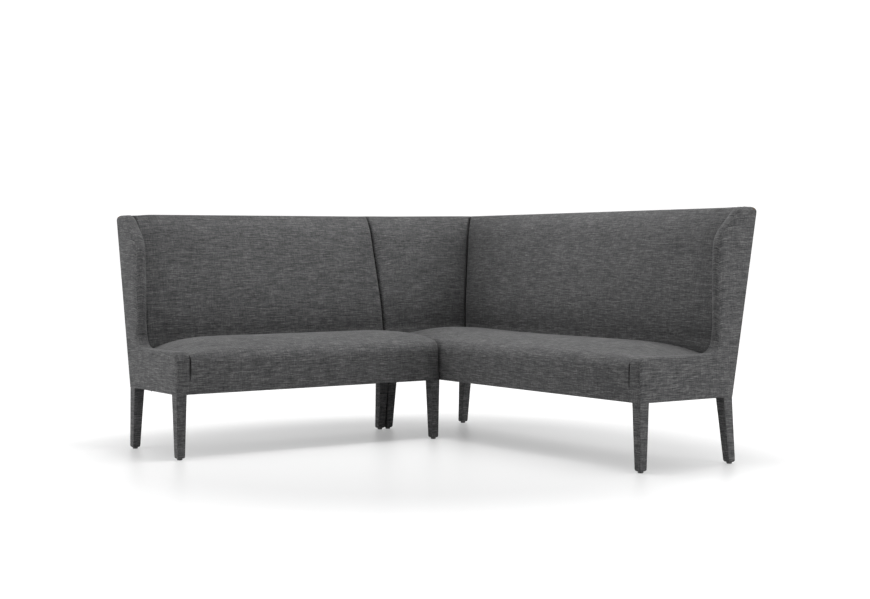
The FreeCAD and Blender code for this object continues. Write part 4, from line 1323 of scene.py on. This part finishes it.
# module, run, first end, second end, node
OUTSIDE_COVERS = {
    "left_outside_back": (
        "left", "x", constant(-size.left), constant(-GAP), "left_outside_back_cover"),
    "right_outside_back": (
        "right", "y", constant(-size.right), mitred(0.0), "right_outside_back_covers"),
    "right_return_outside_back": (
        "right", "x", constant(0.0), mitred(size.cover + size.slack), "right_outside_back_covers"),
}
BOARDS = {
    "left_board_sheet": (
        "left", "x", constant(size.cover - size.left), constant(-GAP - size.cover), "left_back_board"),
    "right_board_sheet": (
        "right", "y", constant(size.cover - size.right), mitred(size.cover), "right_back_boards"),
    "right_return_board_sheet": (
        "right", "x", constant(size.cover), mitred(size.cover + size.board), "right_back_boards"),
}
BOARD_RISE = 0.0015
COVER_PLANE = (0.0, size.cover, size.underside, size.top)
BOARD_PLANE = (size.cover, size.board, size.underside + BOARD_RISE, size.top - size.cover)
for sheets, plane, slot_name in (
    (OUTSIDE_COVERS, COVER_PLANE, "upholstery"),
    (BOARDS, BOARD_PLANE, "fibreboard"),
):
    for name, (module, run, low_end, high_end, node) in sheets.items():
        piece = sheet(name, run, low_end, high_end, *plane)
        settle_top(piece, run, module)
        smooth(piece)
        dress(piece, run, slot_name, node)

LEGS = (
    # name, module, run, (outer face along u, way in), (outer face along d, way in), splayed
    ("left_front_outer", "left", "x", (-size.left, 1), (0.0, 1), False),
    ("left_front_joint", "left", "x", (-GAP, -1), (0.0, 1), False),
    ("left_rear_outer", "left", "x", (-size.left, 1), (size.depth, -1), True),
    ("left_rear_joint", "left", "x", (-GAP, -1), (size.depth, -1), True),
    ("right_front_outer", "right", "y", (-size.right, 1), (0.0, 1), False),
    ("right_rear_outer", "right", "y", (-size.right, 1), (size.depth, -1), True),
    ("right_rear_corner", "right", "x", (size.depth, -1), (size.depth, -1), True),
    ("right_return", "right", "x", (0.0, 1), (size.depth, -1), True),
)
for name, module, run, u_face, d_face, splayed in LEGS:
    cover = sleeve(name + "_leg_sleeve", run, u_face, d_face, splayed)
    thicken(cover, size.cover * SLEEVE_SHARE)
    smooth(cover, LEG_SMOOTH_ANGLE)
    dress(cover, "legs_" + run, "upholstery", module + "_leg_covers")

inset = size.cover + size.slack
for module, run, length, far in (("left", "x", size.left, -GAP), ("right", "y", size.right, size.depth)):
    under_cloth = base_cloth(module + "_base_cloth", run, inset - length, far - inset)
    dress(under_cloth, run, "base_cloth", module + "_dust_cover")

SLOT_OF = {part["node"]: part["material_slot"] for part in frame["record"]["subparts"]}
for name, item in frame["nodes"].items():
    paint(item, "x", SLOT_OF[name])


# Floor, light and camera

WHITE = (1, 1, 1, 1)
FLOOR_TONE = (0.47, 0.47, 0.47, 1)
FLOOR_REACH = 60.0
# the pale floor's own glow for the camera and for reflections, by the bench and far from it
NEAR_GLOW = 0.30
FAR_GLOW = 0.62
GLOW_NEAR_REACH = 1.0
GLOW_FAR_REACH = 1.9
# the sky's light grows from the horizon to the zenith, as under one large softbox
SKY_POWER = 3.0
SKY_STRENGTH = 1.3
SEEN_STRENGTH = 1.05
# name, place, what it points at, width, height and power
LAMPS = (
    ("left", (-3.4, 0.9, 0.7), (-0.9, 0.5, 0.4), 1.5, 1.2, 58),
    ("front", (1.4, -3.6, 0.8), (0.6, -0.9, 0.25), 1.5, 1.5, 64),
    ("over_back", (0.1, 0.5, 2.3), (0.1, 0.5, 0), 2.8, 0.5, 10),
    ("over_corner", (0.42, -0.1, 2.05), (0.52, -0.1, 0), 0.35, 1.9, 13),
    ("high_right", (2.6, -0.9, 3.0), (0, 0, 0.3), 1.6, 1.6, 24),
    ("high", (0.1, -0.3, 4.2), (0.1, 0.0, 0.0), 1.2, 1.2, 42),
)
LENS = 65.27
SENSOR = 36.0
CAMERA_PLACE = (-3.4453, -5.2955, 0.8234)
YAW, PITCH, ROLL = (math.radians(angle) for angle in (33.50, -1.862, -0.266))


def seen_by(tree, *kinds):
    """1 for the camera's rays and for these kinds of ray, and 0 for the others."""
    path = tree.nodes.new("ShaderNodeLightPath")
    total = path.outputs["Is Camera Ray"]
    for kind in kinds:
        total = math_node(tree, "MAXIMUM", total, path.outputs[kind])
    return total


def floor():
    """A wide pale floor, brighter for the camera away from the bench."""
    material, tree, shader = nodes_of("pale_floor")
    shader.inputs["Base Color"].default_value = FLOOR_TONE
    shader.inputs["Roughness"].default_value = 0.4
    shader.inputs["Specular IOR Level"].default_value = 0.1
    distance = tree.nodes.new("ShaderNodeVectorMath")
    distance.operation = "LENGTH"
    tree.links.new(tree.nodes.new("ShaderNodeTexCoord").outputs["Object"], distance.inputs[0])
    spread = tree.nodes.new("ShaderNodeMapRange")
    spread.interpolation_type = "SMOOTHSTEP"
    tree.links.new(distance.outputs["Value"], spread.inputs["Value"])
    for socket, value in (("From Min", GLOW_NEAR_REACH), ("From Max", GLOW_FAR_REACH),
                          ("To Min", NEAR_GLOW), ("To Max", FAR_GLOW)):
        spread.inputs[socket].default_value = value
    glow = math_node(tree, "MULTIPLY", seen_by(tree, "Is Glossy Ray"), spread.outputs["Result"])
    emission = tree.nodes.new("ShaderNodeEmission")
    emission.inputs["Color"].default_value = WHITE
    tree.links.new(glow, emission.inputs["Strength"])
    total = tree.nodes.new("ShaderNodeAddShader")
    tree.links.new(shader.outputs[0], total.inputs[0])
    tree.links.new(emission.outputs[0], total.inputs[1])
    tree.links.new(total.outputs[0], tree.nodes["Material Output"].inputs["Surface"])
    bm = bmesh.new()
    corners = ((-1, -1), (1, -1), (1, 1), (-1, 1))
    bm.faces.new([bm.verts.new((x * FLOOR_REACH, y * FLOOR_REACH, 0.0)) for x, y in corners])
    piece = finish_mesh(bm, "floor")
    piece.data.materials.append(material)


def lamp(name, place, aim, width, height, power):
    light = bpy.data.lights.new(name, "AREA")
    light.shape = "RECTANGLE"
    light.size = width
    light.size_y = height
    light.energy = power
    item = bpy.data.objects.new(name, light)
    item.location = place
    item.rotation_euler = (Vector(aim) - Vector(place)).to_track_quat("-Z", "Y").to_euler()
    item.visible_camera = False
    bpy.context.scene.collection.objects.link(item)


def world():
    """Soft light from all round, and white where the camera or a glossy surface looks past the floor."""
    item = bpy.data.worlds.new("studio")
    bpy.context.scene.world = item
    item.use_nodes = True
    tree = item.node_tree
    background = tree.nodes["Background"]
    background.inputs["Color"].default_value = WHITE
    axes = tree.nodes.new("ShaderNodeSeparateXYZ")
    tree.links.new(tree.nodes.new("ShaderNodeTexCoord").outputs["Generated"], axes.inputs[0])
    sky = math_node(tree, "POWER", math_node(tree, "MAXIMUM", axes.outputs[2], 0.0), SKY_POWER)
    sky = math_node(tree, "MULTIPLY", sky, SKY_STRENGTH)
    seen = seen_by(tree, "Is Glossy Ray", "Is Transmission Ray")
    tree.links.new(blend_values(tree, seen, sky, SEEN_STRENGTH), background.inputs["Strength"])


def camera():
    """The camera at the photograph's viewpoint. Yaw turns from +Y towards +X."""
    data = bpy.data.cameras.new("camera")
    data.lens = LENS
    data.sensor_width = SENSOR
    item = bpy.data.objects.new("camera", data)
    forward = Vector((math.sin(YAW) * math.cos(PITCH), math.cos(YAW) * math.cos(PITCH), math.sin(PITCH)))
    level = Vector((math.cos(YAW), -math.sin(YAW), 0.0))
    above = level.cross(forward)
    right = level * math.cos(ROLL) + above * math.sin(ROLL)
    up = above * math.cos(ROLL) - level * math.sin(ROLL)
    turn = Matrix((right, up, -forward)).transposed()
    item.matrix_world = Matrix.Translation(CAMERA_PLACE) @ turn.to_4x4()
    bpy.context.scene.collection.objects.link(item)
    bpy.context.scene.camera = item


floor()
world()
for values in LAMPS:
    lamp(*values)
camera()
bpy.context.scene.view_settings.view_transform = "Standard"
